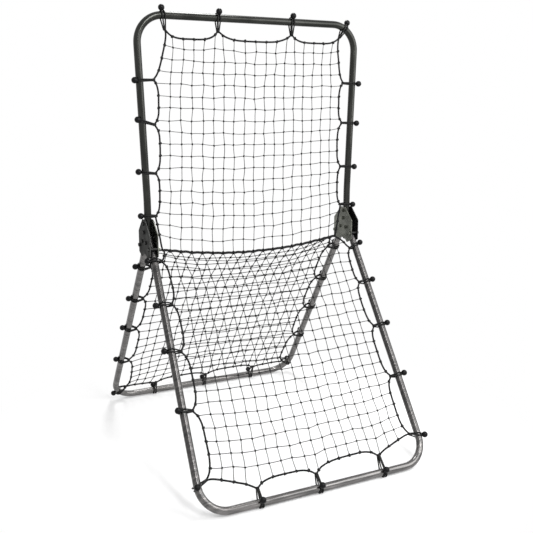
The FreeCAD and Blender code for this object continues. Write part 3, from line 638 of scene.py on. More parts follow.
def merge(name: str, parts: Sequence[bpy.types.Object]) -> bpy.types.Object:
    """Joins parts into one piece.

    Args:
        name: name of the piece.
        parts: what it is joined from.

    Returns:
        The piece.
    """
    deselect_all()
    for part in parts:
        part.select_set(True)
    bpy.context.view_layer.objects.active = parts[0]
    bpy.ops.object.join()
    piece = bpy.context.view_layer.objects.active
    piece.name = name
    piece.data.name = name
    deselect_all()
    return piece


def press_on_floor(piece: bpy.types.Object) -> None:
    """Flattens the underside of cords where the stand rests on them."""
    for vertex in piece.data.vertices:
        vertex.co.z = max(vertex.co.z, 0.0)


def turn_to(direction: Vector, place: Vector, spin: float = 0.0) -> Matrix:
    """A matrix that turns Z to a direction, spins about it and moves to a place."""
    rotation = direction.to_track_quat("Z", "Y").to_matrix().to_4x4()
    return Matrix.Translation(place) @ rotation @ Matrix.Rotation(spin, 4, "Z")


# UV from one ridge of Blender's wave texture to the next, at scale 1
WAVE_TURN = 2 * math.pi / 10


@dataclass
class CordMaker:
    """Makes round cords from control points, as NURBS splines turned into meshes.

    The pitch is the distance along a cord from one ridge of its lay to the next, and the starts are the
    ridges round it.
    """

    name: str
    diameter: float
    sides: int
    steps: int
    pitch: float
    starts: int
    lines: list[tuple[list[Vector], bool]] = field(default_factory=list)

    def add(self, points: Iterable[Vector], closed: bool = False) -> None:
        """Adds one cord through control points."""
        self.lines.append((list(points), closed))

    def lay_out(self) -> bpy.types.Curve:
        """Draws the cords as one curve.

        Returns:
            The curve.
        """
        curve = bpy.data.curves.new(self.name + "_line", "CURVE")
        curve.dimensions = "3D"
        curve.bevel_depth = self.diameter / 2
        curve.bevel_resolution = max(0, (self.sides - 4) // 2)
        curve.resolution_u = self.steps
        curve.use_fill_caps = True
        for points, closed in self.lines:
            spline = curve.splines.new("NURBS")
            spline.points.add(len(points) - 1)
            for spot, point in zip(spline.points, points):
                spot.co = (*point, 1.0)
            spline.order_u = 3
            spline.use_cyclic_u = closed
            spline.use_endpoint_u = not closed
            spline.resolution_u = self.steps
        return curve

    def twist(self, mesh: bpy.types.Mesh) -> None:
        """Scales the UV map, with U along a cord and V round it, so that a diagonal wave draws its lay.

        Args:
            mesh: mesh of the cords.
        """
        layer = mesh.uv_layers.active
        if layer is None:
            return
        lengths = [sum((b - a).length for a, b in zip(points, points[1:])) for points, _ in self.lines]
        along = WAVE_TURN * (sum(lengths) / len(lengths)) / self.pitch
        around = WAVE_TURN * self.starts
        for item in layer.data:
            item.uv = (item.uv[0] * along, item.uv[1] * around)

    def finish(self) -> bpy.types.Object:
        """Makes one mesh object of all the cords.

        Returns:
            The object, at the origin.
        """
        holder = bpy.data.objects.new(self.name + "_line", self.lay_out())
        bpy.context.scene.collection.objects.link(holder)
        bpy.context.view_layer.update()
        graph = bpy.context.evaluated_depsgraph_get()
        mesh = bpy.data.meshes.new_from_object(holder.evaluated_get(graph))
        bpy.data.objects.remove(holder)
        mesh.name = self.name
        mesh.materials.clear()
        self.twist(mesh)
        return add_piece(self.name, mesh)


class Templates:
    """Shapes that repeat: the twine knot, the hitch round the rope and the bungee ball."""

    def __init__(self) -> None:
        """Models each template once."""
        self.knot = self.make_knot()
        self.hitch = self.make_hitch()
        self.ball = self.make_ball()

    def stretch(self, name: str, shares: tuple[float, float, float]) -> bpy.types.Object:
        """Names and stretches the shape that was just added.

        Args:
            name: its name.
            shares: how much on each axis.

        Returns:
            The shape.
        """
        shape = bpy.context.object
        shape.name = name
        bpy.ops.object.mode_set(mode="EDIT")
        bpy.ops.mesh.select_all(action="SELECT")
        bpy.ops.transform.resize(value=shares)
        bpy.ops.object.mode_set(mode="OBJECT")
        return shape

    def make_knot(self) -> bpy.types.Object:
        """A pulled-tight sheet bend at a crossing of two strands of twine.

        Returns:
            The knot, with a swirl in its skin.
        """
        deselect_all()
        bpy.ops.mesh.primitive_uv_sphere_add(segments=7, ring_count=5, radius=SIZES.knot_dia / 2)
        knot = self.stretch("knot_template", (1.22, 0.95, 0.92))
        for vertex in knot.data.vertices:
            swirl = math.atan2(vertex.co.y, vertex.co.x) * 2
            vertex.co *= 1.0 + 0.13 * math.sin(swirl + vertex.co.z / SIZES.knot_dia * 9.0)
        return knot

    def make_hitch(self) -> bpy.types.Object:
        """Twine hitched round the rope, as a short ring with a rounded section.

        Returns:
            The hitch.
        """
        deselect_all()
        bpy.ops.mesh.primitive_torus_add(major_segments=12, minor_segments=6,
                                         major_radius=SIZES.rope_dia / 2 + 0.0007,
                                         minor_radius=SIZES.twine_dia * 0.75)
        return self.stretch("hitch_template", (1.0, 1.0, 1.7))

    def make_ball(self) -> bpy.types.Object:
        """A bungee ball whose two cords enter a hole with a rounded rim, on its +Z side.

        Returns:
            The ball.
        """
        deselect_all()
        radius = SIZES.ball_dia / 2
        bpy.ops.mesh.primitive_uv_sphere_add(segments=24, ring_count=16, radius=radius)
        ball = bpy.context.object
        ball.name = "ball_template"
        bpy.ops.object.mode_set(mode="EDIT")
        bpy.ops.mesh.select_all(action="DESELECT")
        bpy.ops.mesh.select_mode(type="FACE")
        bpy.ops.object.mode_set(mode="OBJECT")
        for polygon in ball.data.polygons:
            polygon.select = polygon.center.z > radius * 0.93
        bpy.ops.object.mode_set(mode="EDIT")
        bpy.ops.mesh.extrude_region_move()
        bpy.ops.transform.resize(value=(0.86, 0.86, 1.0))
        bpy.ops.mesh.extrude_region_move(TRANSFORM_OT_translate={"value": (0.0, 0.0, -radius * 0.12)})
        bpy.ops.transform.resize(value=(0.92, 0.92, 1.0))
        bpy.ops.mesh.extrude_region_move(TRANSFORM_OT_translate={"value": (0.0, 0.0, -radius * 0.40)})
        bpy.ops.object.mode_set(mode="OBJECT")
        return ball

    def clear(self) -> None:
        """Removes the templates once their copies stand."""
        for template in (self.knot, self.hitch, self.ball):
            bpy.data.objects.remove(template)


# Nets


@dataclass(frozen=True)
class NetEdge:
    """One edge of a net: its ties, with the strands that end on each run between two ties.

    The gaps say, for each run, how far its first and last strand are from its two ties, in cells. The depths
    say how far the edge hangs in from its two ties, as a share of the run.
    """

    ties: tuple[Flat, ...]
    strands: tuple[int, ...]
    gaps: tuple[Flat, ...]
    depths: tuple[float, ...]
    inwards: Flat

    def point(self, run: int, share: float) -> Flat:
        """A point of the edge.

        Args:
            run: the run between two ties that it is on.
            share: how far along that run it is.

        Returns:
            The point.
        """
        start, end = self.ties[run], self.ties[run + 1]
        span = math.hypot(end[0] - start[0], end[1] - start[1])
        depth = self.depths[run] * span * (1 - abs(2 * share - 1) ** SIZES.scallop_power)
        return (start[0] + (end[0] - start[0]) * share + self.inwards[0] * depth,
                start[1] + (end[1] - start[1]) * share + self.inwards[1] * depth)

    def ends(self) -> list[Flat]:
        """Where the strands end on this edge, in order.

        Returns:
            The places.
        """
        places = []
        for run, (count, (first, last)) in enumerate(zip(self.strands, self.gaps)):
            places += [self.point(run, (first + index) / (first + last + count - 1)) for index in range(count)]
        return places

    def line(self) -> list[Flat]:
        """Control points of the border cord along this edge, from tie to tie.

        Returns:
            The points.
        """
        shares = (0.0, 0.03, 0.10, 0.22, 0.36, 0.5, 0.64, 0.78, 0.90, 0.97)
        points = [self.point(run, share) for run in range(len(self.ties) - 1) for share in shares]
        return points + [self.ties[-1]]


@dataclass
class KnottedNet:
    """One net of the stand: twine knotted in squares, a border cord and its ties.

    Its lift says how far each of its points stands out of its frame's plane, its fineness is the share of
    the twine's full thickness, and its strays are how far a knot and the border may be from their even
    places. Between two crossings its twine waves across by a share of the run, and stands a little proud.
    The rounds and the overshoot bring the crossings to rest.
    """

    stand: Stand
    node: str
    left: NetEdge
    right: NetEdge
    far: NetEdge
    rope_ends: list[Flat]
    lift: Callable[[float, float], float]
    seed: int
    fineness: float
    stray: float = 0.0034
    border_stray: float = 0.0007
    wave: float = 0.028
    proud: float = 0.0012
    end_knot: float = 1.35
    tie_knot: float = 1.2
    rounds: int = 90
    overshoot: float = 1.7

    def spot(self, flat: Flat, extra: float = 0.0) -> Vector:
        """A point of the net in the row frame."""
        return PLANES[self.stand].place(flat[0], flat[1], self.lift(flat[0], flat[1]) + extra)

    def crossings(self) -> list[list[Flat]]:
        """Where the strands cross, row by row from the far bar's edge to the rope.

        Each crossing comes to rest in the middle of its four neighbours, as even tension leaves it.

        Returns:
            The rows.
        """
        left, right, top = self.left.ends(), self.right.ends(), self.far.ends()
        rows, columns = len(left), len(top)
        grid = []
        for row in range(rows + 2):
            down, level = row / (rows + 1), max(0, min(rows - 1, row - 1))
            line = [[start * (1 - down) + end * down for start, end in zip(*pair)]
                    for pair in zip(top, self.rope_ends)]
            grid.append([list(left[level]), *line, list(right[level])])
        for _ in range(self.rounds):
            for row in range(1, rows + 1):
                for column in range(1, columns + 1):
                    for axis in (0, 1):
                        rest = (grid[row - 1][column][axis] + grid[row + 1][column][axis]
                                + grid[row][column - 1][axis] + grid[row][column + 1][axis]) / 4
                        grid[row][column][axis] += self.overshoot * (rest - grid[row][column][axis])
        chance = random.Random(self.seed)
        return [[(x + chance.uniform(-self.stray, self.stray), reach + chance.uniform(-self.stray, self.stray))
                 for x, reach in line[1:-1]] for line in grid[1:-1]]

    def strand(self, flats: Sequence[Flat], chance: random.Random) -> list[Vector]:
        """Control points of one strand, with a slight wave between its crossings.

        Args:
            flats: its ends and crossings.
            chance: source of the waves.

        Returns:
            The points.
        """
        points = [self.spot(flats[0])]
        for start, end in zip(flats, flats[1:]):
            run = math.hypot(end[0] - start[0], end[1] - start[1])
            across = ((start[1] - end[1]) / run, (end[0] - start[0]) / run)
            wave = chance.uniform(-self.wave, self.wave) * run
            middle = ((start[0] + end[0]) / 2 + across[0] * wave, (start[1] + end[1]) / 2 + across[1] * wave)
            points.append(self.spot(middle, chance.uniform(-self.proud, self.proud)))
            points.append(self.spot(end))
        return points

    def knots(self, flats: Sequence[Flat], size: float, chance: random.Random) -> list[Matrix]:
        """Where knots of some size go, each spun by chance."""
        normal = PLANES[self.stand].normal
        return [turn_to(normal, self.spot(flat), chance.uniform(0, math.pi)) @ Matrix.Scale(size, 4)
                for flat in flats]

    def weave(self, templates: Templates) -> bpy.types.Object:
        """Makes the twine and its knots.

        Args:
            templates: the modelled knot.

        Returns:
            The piece.
        """
        grid = self.crossings()
        chance = random.Random(self.seed + 1)
        left, right, top = self.left.ends(), self.right.ends(), self.far.ends()
        twine = CordMaker(self.node + "_strands", SIZES.twine_dia * self.fineness, 6, 3, 0.0045, 2)
        for start, line, end in zip(left, grid, right):
            twine.add(self.strand([start, *line, end], chance))
        for start, line, end in zip(top, zip(*grid), self.rope_ends):
            twine.add(self.strand([start, *line, end], chance))
        places = self.knots([flat for line in grid for flat in line], self.fineness, chance)
        places += self.knots([*left, *right, *top], self.end_knot, chance)
        knots = stamp(self.node + "_knots", templates.knot, places)
        return merge(self.node + "_twine", [twine.finish(), knots])

    def border(self, templates: Templates) -> bpy.types.Object:
        """Makes the border cord, from one end of the rope round to the other, with a knot at each tie.

        Args:
            templates: the modelled knot.

        Returns:
            The piece.
        """
        maker = CordMaker(self.node + "_border_line", SIZES.border_dia, 8, 3, 0.009, 3)
        chance = random.Random(self.seed + 2)
        flats = [*self.left.line()[::-1][:-1], *self.far.line(), *self.right.line()[1:]]
        stray = self.border_stray
        maker.add([self.spot((x + chance.uniform(-stray, stray), reach + chance.uniform(-stray, stray)))
                   for x, reach in flats])
        ties = [*self.left.ties[:-1], *self.far.ties[1:-1], *self.right.ties[:-1]]
        knots = stamp(self.node + "_border_knots", templates.knot, self.knots(ties, self.tie_knot, chance))
        return merge(self.node + "_border_cord", [maker.finish(), knots])


STRANDS_ACROSS = 17


def rope_columns() -> list[float]:
    """Places across the stand of the strands that hang on the rope."""
    span = STRANDS_ACROSS + 0.4
    return [SIZES.rope_half * (2 * (index + 0.7) / span - 1) for index in range(STRANDS_ACROSS)]


def upper_net() -> KnottedNet:
    """Lays out the upper net, from the top bar down to the rope.

    Returns:
        The net.
    """
    plane = PLANES[Stand.UPPER]
    top_gap, side_gap = 0.046, 0.031
    top = SIZES.upper_length - top_gap
    places = [0.065, 0.227, SIZES.upper_length - 0.393, SIZES.upper_length - 0.231]
    sides = []
    for side, corner_gap, growth in ((Side.LEFT, 0.108, 0.021), (Side.RIGHT, 0.071, 0.012)):
        ties = [(side.value * (SIZES.frame_width / 2 - corner_gap), top)]
        for reach in places[::-1]:
            high = (reach - places[0]) / (places[-1] - places[0])
            ties.append((side.value * (plane.side_x(reach) - (side_gap + growth * high)), reach))
        ties.append((side.value * SIZES.rope_half, -SIZES.rope_drop))
        sides.append(NetEdge(tuple(ties), (3, 4, 4, 4, 2),
                             ((1.3, 0.75), (0.25, 0.35), (0.5, 0.4), (0.6, 0.3), (0.8, 1.5)),
                             (0.08, 0.12, 0.12, 0.11, 0.0), (-side.value, 0.0)))
    left, right = sides
    far = NetEdge((left.ties[0], (-0.145, top), (0.170, top), right.ties[0]), (5, 7, 5),
                  ((0.7, 0.25), (0.45, 0.4), (0.35, 0.75)), (0.165, 0.108, 0.135), (0.0, -1.0))
    ends = [(x, -SIZES.rope_depth(x)) for x in rope_columns()]
    return KnottedNet(Stand.UPPER, "upper_net", left, right, far, ends, lambda x, reach: 0.0, 11, 0.86)


def leg_lift(x: float, reach: float) -> float:
    """How far a leg net stands inside its frame's plane: fully at the rope, not at all lower down.

    Args:
        x: place across the stand.
        reach: distance from the hub centres.

    Returns:
        The distance, below 0.
    """
    side_run, middle_run, widening, fall = 0.062, 0.24, 2.2, 1.8
    depth = SIZES.rope_depth(x)
    start, full = depth * math.cos(SIZES.lean), -depth * math.sin(SIZES.lean)
    middle = 1 - min(1.0, abs(x) / SIZES.rope_half)
    run = side_run + middle_run * min(1.0, middle * widening)
    share = max(0.0, min(1.0, (reach - start) / run))
    return full * (1 - share) ** fall


@dataclass(frozen=True)
class LegNetPlan:
    """Where a leg net is tied, from the rope down to its floor bar.

    Attributes:
        stand: the leg frame that carries it.
        node: the CAD node that it stands for.
        first: first tie on the leg, from the hubs.
        last: last tie on the leg, from the floor bar.
        growth: how much the steps between ties grow by.
        corner_gap: the line of a side tube to the net's lower corner.
        bar: places of the ties on the floor bar, across, and how far each is from the bar.
        rows: strands that end on each run of a side, from the last tie up to the rope.
        shifts: for each side, how much further down its ties are than the even steps give, from the last up.
        hub_gaps: for each side, the line of its tube to the net at the tie nearest to the hubs.
        hub_depth: how far the edge hangs in between that tie and the rope, as a share of the run.
        seed: seed of the twine's small irregularities.
        fineness: share of the twine's full thickness.
    """

    stand: Stand
    node: str
    first: float
    last: float
    growth: float
    corner_gap: float
    bar: tuple[Flat, Flat, Flat]
    rows: tuple[int, ...]
    shifts: dict[Side, tuple[float, ...]]
    hub_gaps: dict[Side, float]
    hub_depth: float
    seed: int
    fineness: float
    side_gap: float = 0.033

    def side_places(self) -> list[float]:
        """Distances from the hubs of the ties on a leg, from the first down, with steps that grow evenly.

        Returns:
            The distances.
        """
        steps = [1 + self.growth * index for index in range(4)]
        places = [self.first]
        for step in steps:
            places.append(places[-1] + (SIZES.leg_length - self.last - self.first) * step / sum(steps))
        return places

    def side_edge(self, side: Side) -> NetEdge:
        """The edge along one leg, from its last tie up to the rope.

        Args:
            side: the side of the stand.

        Returns:
            The edge.
        """
        ties = []
        gaps = [self.corner_gap, *(self.side_gap,) * 3, self.hub_gaps[side]]
        for reach, gap, shift in zip(self.side_places()[::-1], gaps, self.shifts[side]):
            lower = reach + shift
            ties.append((side.value * (PLANES[self.stand].side_x(lower) - gap), lower))
        ties.append((side.value * SIZES.rope_half, SIZES.rope_drop * math.cos(SIZES.lean)))
        return NetEdge(tuple(ties), self.rows, ((0.8, 0.45), (0.5, 0.5), (0.5, 0.5), (0.5, 0.6), (0.6, 1.0)),
                       (0.12, 0.12, 0.12, 0.12, self.hub_depth), (-side.value, 0.0))

    def net(self) -> KnottedNet:
        """Lays out the net.

        Returns:
            The net.
        """
        left, right = self.side_edge(Side.LEFT), self.side_edge(Side.RIGHT)
        corner, lowest = right.ties[0][0], self.side_places()[-1]
        bar = [(x, SIZES.leg_length - gap) for x, gap in self.bar]
        far = NetEdge(((-corner, lowest), *bar, (corner, lowest)), (3, 5, 6, 3),
                      ((1.3, 0.85), (0.43, 0.55), (0.3, 0.6), (0.15, 1.2)), (0.06, 0.12, 0.12, 0.05), (0.0, -1.0))
        ends = [(x, SIZES.rope_depth(x) * math.cos(SIZES.lean)) for x in rope_columns()]
        return KnottedNet(self.stand, self.node, left, right, far, ends, leg_lift, self.seed, self.fineness)


FRONT_NET = LegNetPlan(
    Stand.FRONT, "front_net", 0.121, 0.114, 0.12, 0.034,
    ((-0.250, 0.047), (-0.013, 0.048), (0.262, 0.060)), (5, 5, 4, 4, 1),
    {Side.LEFT: (0.0, -0.007, -0.010, 0.0, -0.001), Side.RIGHT: (0.0, 0.0, 0.0, 0.0, 0.016)},
    {Side.LEFT: 0.026, Side.RIGHT: 0.025}, 0.12, 23, 0.90,
)
BACK_NET = LegNetPlan(
    Stand.BACK, "back_net", 0.171, 0.062, 0.05, 0.047,
    ((-0.262, 0.055), (-0.005, 0.055), (0.250, 0.055)), (5, 4, 4, 4, 2),
    {Side.LEFT: (0.0, 0.012, 0.002, 0.011, 0.014), Side.RIGHT: (-0.012, 0.0, 0.0, 0.0, -0.010)},
    {Side.LEFT: 0.033, Side.RIGHT: 0.033}, 0.0, 37, 1.04,
)


# Ball bungees


@dataclass(frozen=True)
class Tie:
    """One ball bungee: it ties a place of a net's edge to the nearest place of the tube.

    The ball is turned outwards round the tube by so many bends of its cord. A slant moves the loop along the
    tube, away from the hubs or to the left, with its end on the net where it was.
    """

    net: Flat
    ball_bends: int
    slant: float


# Bends of the ball's cord and slant of the loop at each tie: up each upright from its top, along the top bar
# and the floor bars from the left, and up each leg from its last tie
TIE_TURNS: dict[str, tuple[tuple[int, float], ...]] = {
    "upper_left": ((1, 0.0), (1, 0.014), (0, 0.006), (0, 0.0025)),
    "upper_right": ((1, 0.0),) * 4,
    "upper_top": ((0, 0.006), (1, 0.0), (1, 0.0), (0, 0.0)),
    "front_left": ((2, 0.015), (1, -0.003), (0, -0.005), (0, 0.0), (0, -0.002)),
    "front_right": ((1, 0.010), (1, 0.0), (1, 0.0), (1, 0.0), (1, -0.0075)),
    "front_floor": ((3, 0.0),) * 3,
    "back_left": ((0, 0.0), (0, -0.010), (0, -0.008), (0, -0.004), (0, -0.003)),
    "back_right": ((2, 0.0),) * 5,
    "back_floor": ((3, 0.0),) * 3,
}


def turned_ties(name: str, spots: Sequence[Flat]) -> list[Tie]:
    """The ties of one row, with their balls turned and their loops slanted."""
    return [Tie(spot, bends, slant) for spot, (bends, slant) in zip(spots, TIE_TURNS[name])]


@dataclass
class BungeeSet:
    """Ball bungees of one kind on one frame, with their cords and their balls.

    The spreads are half the distance between the two strands of a bungee, at the tube, at the net and at
    the ball. The play is its gap to the tube, the hole depth is how far it reaches into the ball, and the CAD
    taper is how much wider the CAD model's loop is at the tube than at the net.
    """

    stand: Stand
    name: str
    ties: list[Tie]
    tube_spread: float = 0.0056
    net_spread: float = 0.0021
    ball_spread: float = 0.0023
    play: float = 0.0002
    hole_depth: float = 0.0012
    cad_taper: float = 0.00903

    def ball_turn(self, tie: Tie, distance: float) -> float:
        """Angle that a tie's ball is turned outwards by, from the tube's far side, as in the CAD model."""
        return tie.ball_bends * (math.pi - math.acos(self.cad_taper / distance)) / 3

    def loop_line(self, distance: float) -> list[Flat]:
        """Control points of a loop round the tube at 0 and round the net's border at a distance.

        Args:
            distance: the tube to the border, centre to centre.

        Returns:
            The points, along and out of the frame's plane.
        """
        tube = SIZES.tube_dia / 2 + SIZES.bungee_dia / 2 + self.play
        net = SIZES.border_dia / 2 + SIZES.bungee_dia / 2
        touch = math.acos((tube - net) / distance)
        points: list[Flat] = []
        for radius, centre, first, span, count in (
            (tube, 0.0, touch, 2 * math.pi - 2 * touch, 9),
            (net, distance, -touch, 2 * touch, 4),
        ):
            step = span / count
            bend = radius / math.cos(step / 2)
            turns = [first, *(first + step * (index + 0.5) for index in range(count)), first + span]
            radii = [radius, *(bend,) * count, radius]
            points += [(centre + size * math.cos(turn), size * math.sin(turn))
                       for size, turn in zip(radii, turns)]
        return points

    def origin(self, tie: Tie) -> Vector:
        """The place on the tube's centre line that a tie's loop goes round.

        Args:
            tie: the tie.

        Returns:
            The place in the row frame.
        """
        plane = PLANES[self.stand]
        across, along = plane.foot(*tie.net)
        if abs(along - tie.net[1]) > abs(across - tie.net[0]):
            return plane.place(across - tie.slant, along)
        return plane.place(across, along + tie.slant)

    def cords_of(self, tie: Tie) -> list[list[Vector]]:
        """Control points of the two strands of one bungee.

        Args:
            tie: the tie.

        Returns:
            The points of each strand.
        """
        plane = PLANES[self.stand]
        origin = self.origin(tie)
        reach = plane.place(*tie.net) - origin
        distance = reach.length
        outwards = reach.normalized()
        along_tube = plane.normal.cross(outwards)
        turn = self.ball_turn(tie, distance)
        ball = (-math.cos(turn), math.sin(turn))
        strands = []
        for side in Side:
            points = []
            for a, n in self.loop_line(distance):
                size = math.hypot(a, n)
                facing = max(0.0, (a * ball[0] + n * ball[1]) / size) if a < distance / 2 else 0.0
                near = max(0.0, min(1.0, a / distance))
                spread = self.tube_spread + (self.net_spread - self.tube_spread) * near
                spread += (self.ball_spread - spread) * facing**3
                push = 1 + self.hole_depth / size * facing**6
                points.append(origin + outwards * (a * push) + plane.normal * (n * push)
                              + along_tube * (side.value * spread))
            strands.append(points)
        return strands

    def ball_place(self, tie: Tie) -> Matrix:
        """Where the ball of one bungee goes, with its hole towards the tube.

        Args:
            tie: the tie.

        Returns:
            The ball's place and turn.
        """
        plane = PLANES[self.stand]
        origin = self.origin(tie)
        reach = plane.place(*tie.net) - origin
        turn = self.ball_turn(tie, reach.length)
        outwards = reach.normalized() * -math.cos(turn) + plane.normal * math.sin(turn)
        return turn_to(-outwards, origin + outwards * SIZES.ball_reach)

    def make(self, templates: Templates) -> tuple[bpy.types.Object, bpy.types.Object]:
        """Makes the cords and the balls.

        Args:
            templates: the modelled ball.

        Returns:
            The piece with the cords and the piece with the balls.
        """
        maker = CordMaker(self.name + "_elastic", SIZES.bungee_dia, 8, 3, 0.003, 4)
        for tie in self.ties:
            for strand in self.cords_of(tie):
                maker.add(strand, True)
        balls = stamp(self.name + "_round_balls", templates.ball, [self.ball_place(tie) for tie in self.ties])
        return maker.finish(), balls


# Assembly


@dataclass
class NetDressing:
    """The three nets with the rope that they share.

    Each strand pulls the rope down a little, and the rope rises between two strands, each with a stray.
    """

    dresser: Dresser
    templates: Templates
    pull: float = 0.0016
    pull_stray: float = 0.001
    rise: float = 0.0026
    rise_stray: float = 0.0012

    def attach(self, piece: bpy.types.Object, net: KnottedNet) -> None:
        """Makes a net's piece ride on the upper frame, or, for a leg net, applies its place to its mesh.

        Args:
            piece: the twine or the border cord.
            net: its net.
        """
        if net.stand is Stand.UPPER:
            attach(piece, Stand.UPPER.value)
        else:
            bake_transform(piece)
        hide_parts(net.node)

    def rope(self) -> bpy.types.Object:
        """Makes the fold rope, slightly wavy where each strand pulls on it, with its hitches.

        Returns:
            The piece.
        """
        chance = random.Random(5)
        plane = PLANES[Stand.UPPER]
        places = [-SIZES.rope_half, *rope_columns(), SIZES.rope_half]
        points = []
        for index, x in enumerate(places):
            points.append(plane.place(x, -SIZES.rope_depth(x) - self.pull
                                      + chance.uniform(-self.pull_stray, self.pull_stray)))
            if index < len(places) - 1:
                middle = (x + places[index + 1]) / 2
                points.append(plane.place(middle, -SIZES.rope_depth(middle) + self.rise
                                          + chance.uniform(-self.rise_stray, self.rise_stray)))
        maker = CordMaker("fold_rope_line", SIZES.rope_dia, 10, 4, 0.013, 3)
        maker.add(points)
        hitches = []
        for x in rope_columns():
            slope = math.atan2(2 * SIZES.rope_sag * x / SIZES.rope_half**2, 1)
            direction = Vector((math.cos(slope), 0, math.sin(slope)))
            hitches.append(turn_to(direction, plane.place(x, -SIZES.rope_depth(x)), chance.uniform(0, math.pi)))
        ring = stamp("fold_rope_hitches", self.templates.hitch, hitches)
        return merge("fold_rope", [maker.finish(), ring])

    def build(self) -> list[KnottedNet]:
        """Makes the nets and the rope.

        Returns:
            The nets, for the bungees that tie them.
        """
        nets = [upper_net(), FRONT_NET.net(), BACK_NET.net()]
        for net in nets:
            for make, finish in ((net.weave, TWINE), (net.border, BORDER)):
                piece = make(self.templates)
                self.dresser.dress(piece, finish)
                self.attach(piece, net)
                log.info("%s: %d faces", piece.name, len(piece.data.polygons))
        rope = self.rope()
        self.dresser.dress(rope, ROPE)
        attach(rope, Stand.UPPER.value)
        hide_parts("net_fold_rope")
        log.info("fold rope: %d faces", len(rope.data.polygons))
        return nets


@dataclass
class BungeeDressing:
    """All the ball bungees, each kind as cords and balls of its own."""

    dresser: Dresser
    templates: Templates

    def sets(self, nets: Sequence[KnottedNet]) -> list[BungeeSet]:
        """The kinds of bungee, with the ties of each net.

        Args:
            nets: the three nets.

        Returns:
            The sets.
        """
        upper, *legs = nets
        side = turned_ties("upper_left", upper.left.ties[1:-1]) + turned_ties("upper_right", upper.right.ties[1:-1])
        found = [
            BungeeSet(Stand.UPPER, "upper_side", side, 0.0034),
            BungeeSet(Stand.UPPER, "upper_top", turned_ties("upper_top", upper.far.ties)),
        ]
        for name, net in zip(("front", "back"), legs):
            side = (turned_ties(name + "_left", net.left.ties[:-1])
                    + turned_ties(name + "_right", net.right.ties[:-1]))
            found.append(BungeeSet(net.stand, name + "_side", side))
            floor = turned_ties(name + "_floor", net.far.ties[1:-1])
            found.append(BungeeSet(net.stand, name + "_floor", floor))
        return found

    def build(self, nets: Sequence[KnottedNet]) -> None:
        """Makes every bungee.

        Args:
            nets: the three nets.
        """
        for kind in self.sets(nets):
            cords, balls = kind.make(self.templates)
            press_on_floor(cords)
            for piece, finish, part in ((cords, ELASTIC, "cord"), (balls, BALL_PLASTIC, "ball")):
                self.dresser.dress(piece, finish)
                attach(piece, kind.stand.value)
                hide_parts(f"{kind.name}_bungee_{part}s")
            log.info("%s: %d ball bungees", kind.name, len(kind.ties))


@dataclass
class MetalDressing:
    """Finishes of the tubes, hub plates, fasteners and small plastic parts from the CAD model."""

    dresser: Dresser
    nodes: dict[str, bpy.types.Object]

    def build(self) -> None:
        """Gives each CAD node that no new piece stands for its finish, by the end of its name."""
        for name, piece in sorted(self.nodes.items()):
            for ending, finish in NODE_FINISHES.items():
                if name.endswith(ending):
                    self.dresser.dress(piece, finish)
                    log.info("%s: %s", name, finish.name)


# Studio


@dataclass(frozen=True)
class Lamp:
    """One soft lamp of the studio."""

    name: str
    place: tuple[float, float, float]
    target: tuple[float, float, float]
    width: float
    depth: float
    power: float

    def build(self) -> None:
        """Adds the lamp."""
        light = bpy.data.lights.new(self.name, "AREA")
        light.shape = "RECTANGLE"
        light.size = self.width
        light.size_y = self.depth
        light.energy = self.power
        lamp = bpy.data.objects.new(self.name, light)
        lamp.location = self.place
        lamp.rotation_euler = (Vector(self.target) - Vector(self.place)).to_track_quat("-Z", "Y").to_euler()
        bpy.context.scene.collection.objects.link(lamp)


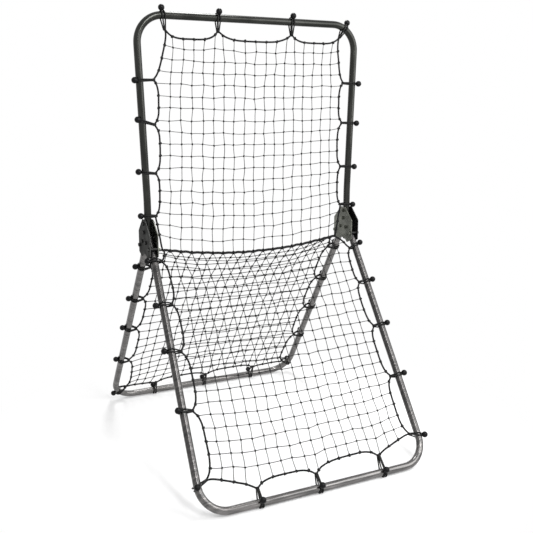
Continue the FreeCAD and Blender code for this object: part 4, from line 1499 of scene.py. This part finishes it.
@dataclass(frozen=True)
class Studio:
    """White studio with soft lamps, a pale floor and the photograph's camera."""

    camera_place: tuple[float, float, float] = (-1.2594, -2.7256, 1.3601)
    camera_yaw: float = 25.826
    camera_pitch: float = 12.009
    lens: float = 50.14
    sensor_width: float = 36.0
    view_depth: float = 60.0
    floor_size: float = 40.0
    soft_light: float = 0.56
    lamps: tuple[Lamp, ...] = (
        Lamp("key_lamp", (0.0, -2.85, 2.9), (0.0, -0.2, 0.6), 0.6, 1.9, 66.0),
        Lamp("right_lamp", (2.0, -1.9, 2.1), (0.0, -0.2, 0.7), 2.6, 2.2, 64.0),
        Lamp("top_lamp", (0.37, 0.58, 3.4), (0.37, 0.58, 0.0), 0.45, 1.4, 42.0),
    )

    def camera(self) -> None:
        """Adds the camera."""
        data = bpy.data.cameras.new("photo_camera")
        data.lens = self.lens
        data.sensor_width = self.sensor_width
        data.clip_end = self.view_depth
        camera = bpy.data.objects.new("photo_camera", data)
        camera.location = self.camera_place
        camera.rotation_euler = (math.radians(90.0 - self.camera_pitch), 0.0, -math.radians(self.camera_yaw))
        bpy.context.scene.collection.objects.link(camera)
        bpy.context.scene.camera = camera

    def floor(self) -> None:
        """Adds the pale floor, which shows as white and keeps the shadow."""
        deselect_all()
        bpy.ops.mesh.primitive_plane_add(size=self.floor_size)
        floor = bpy.context.object
        floor.name = "studio_floor"
        floor.data.materials.append(FloorWhite("studio_floor").make())

    def world(self) -> None:
        """Lights the scene softly, with white behind it for the camera and for reflections."""
        world = bpy.data.worlds.new("studio_world")
        board = NodeBoard(world, "ShaderNodeOutputWorld")
        soft, white = (board.add("ShaderNodeBackground", {"Color": (1, 1, 1, 1), "Strength": strength})
                       for strength in (self.soft_light, 1.0))
        mix = board.add("ShaderNodeMixShader", {0: board.seen(), 1: soft.outputs[0], 2: white.outputs[0]})
        board.fill(board.output, {"Surface": mix.outputs[0]})
        bpy.context.scene.world = world

    def build(self) -> None:
        """Builds the studio."""
        bpy.context.scene.view_settings.view_transform = "Standard"
        self.camera()
        self.floor()
        self.world()
        for lamp in self.lamps:
            lamp.build()
        log.info("studio: %d lamps", len(self.lamps))


def main() -> None:
    """Builds the studio and every piece, in order."""
    logging.basicConfig(level=logging.INFO, format="%(message)s")
    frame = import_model()
    Studio().build()
    dresser = Dresser()
    templates = Templates()
    MetalDressing(dresser, frame["nodes"]).build()
    nets = NetDressing(dresser, templates).build()
    BungeeDressing(dresser, templates).build(nets)
    templates.clear()


if __name__ == "__main__":
    main()
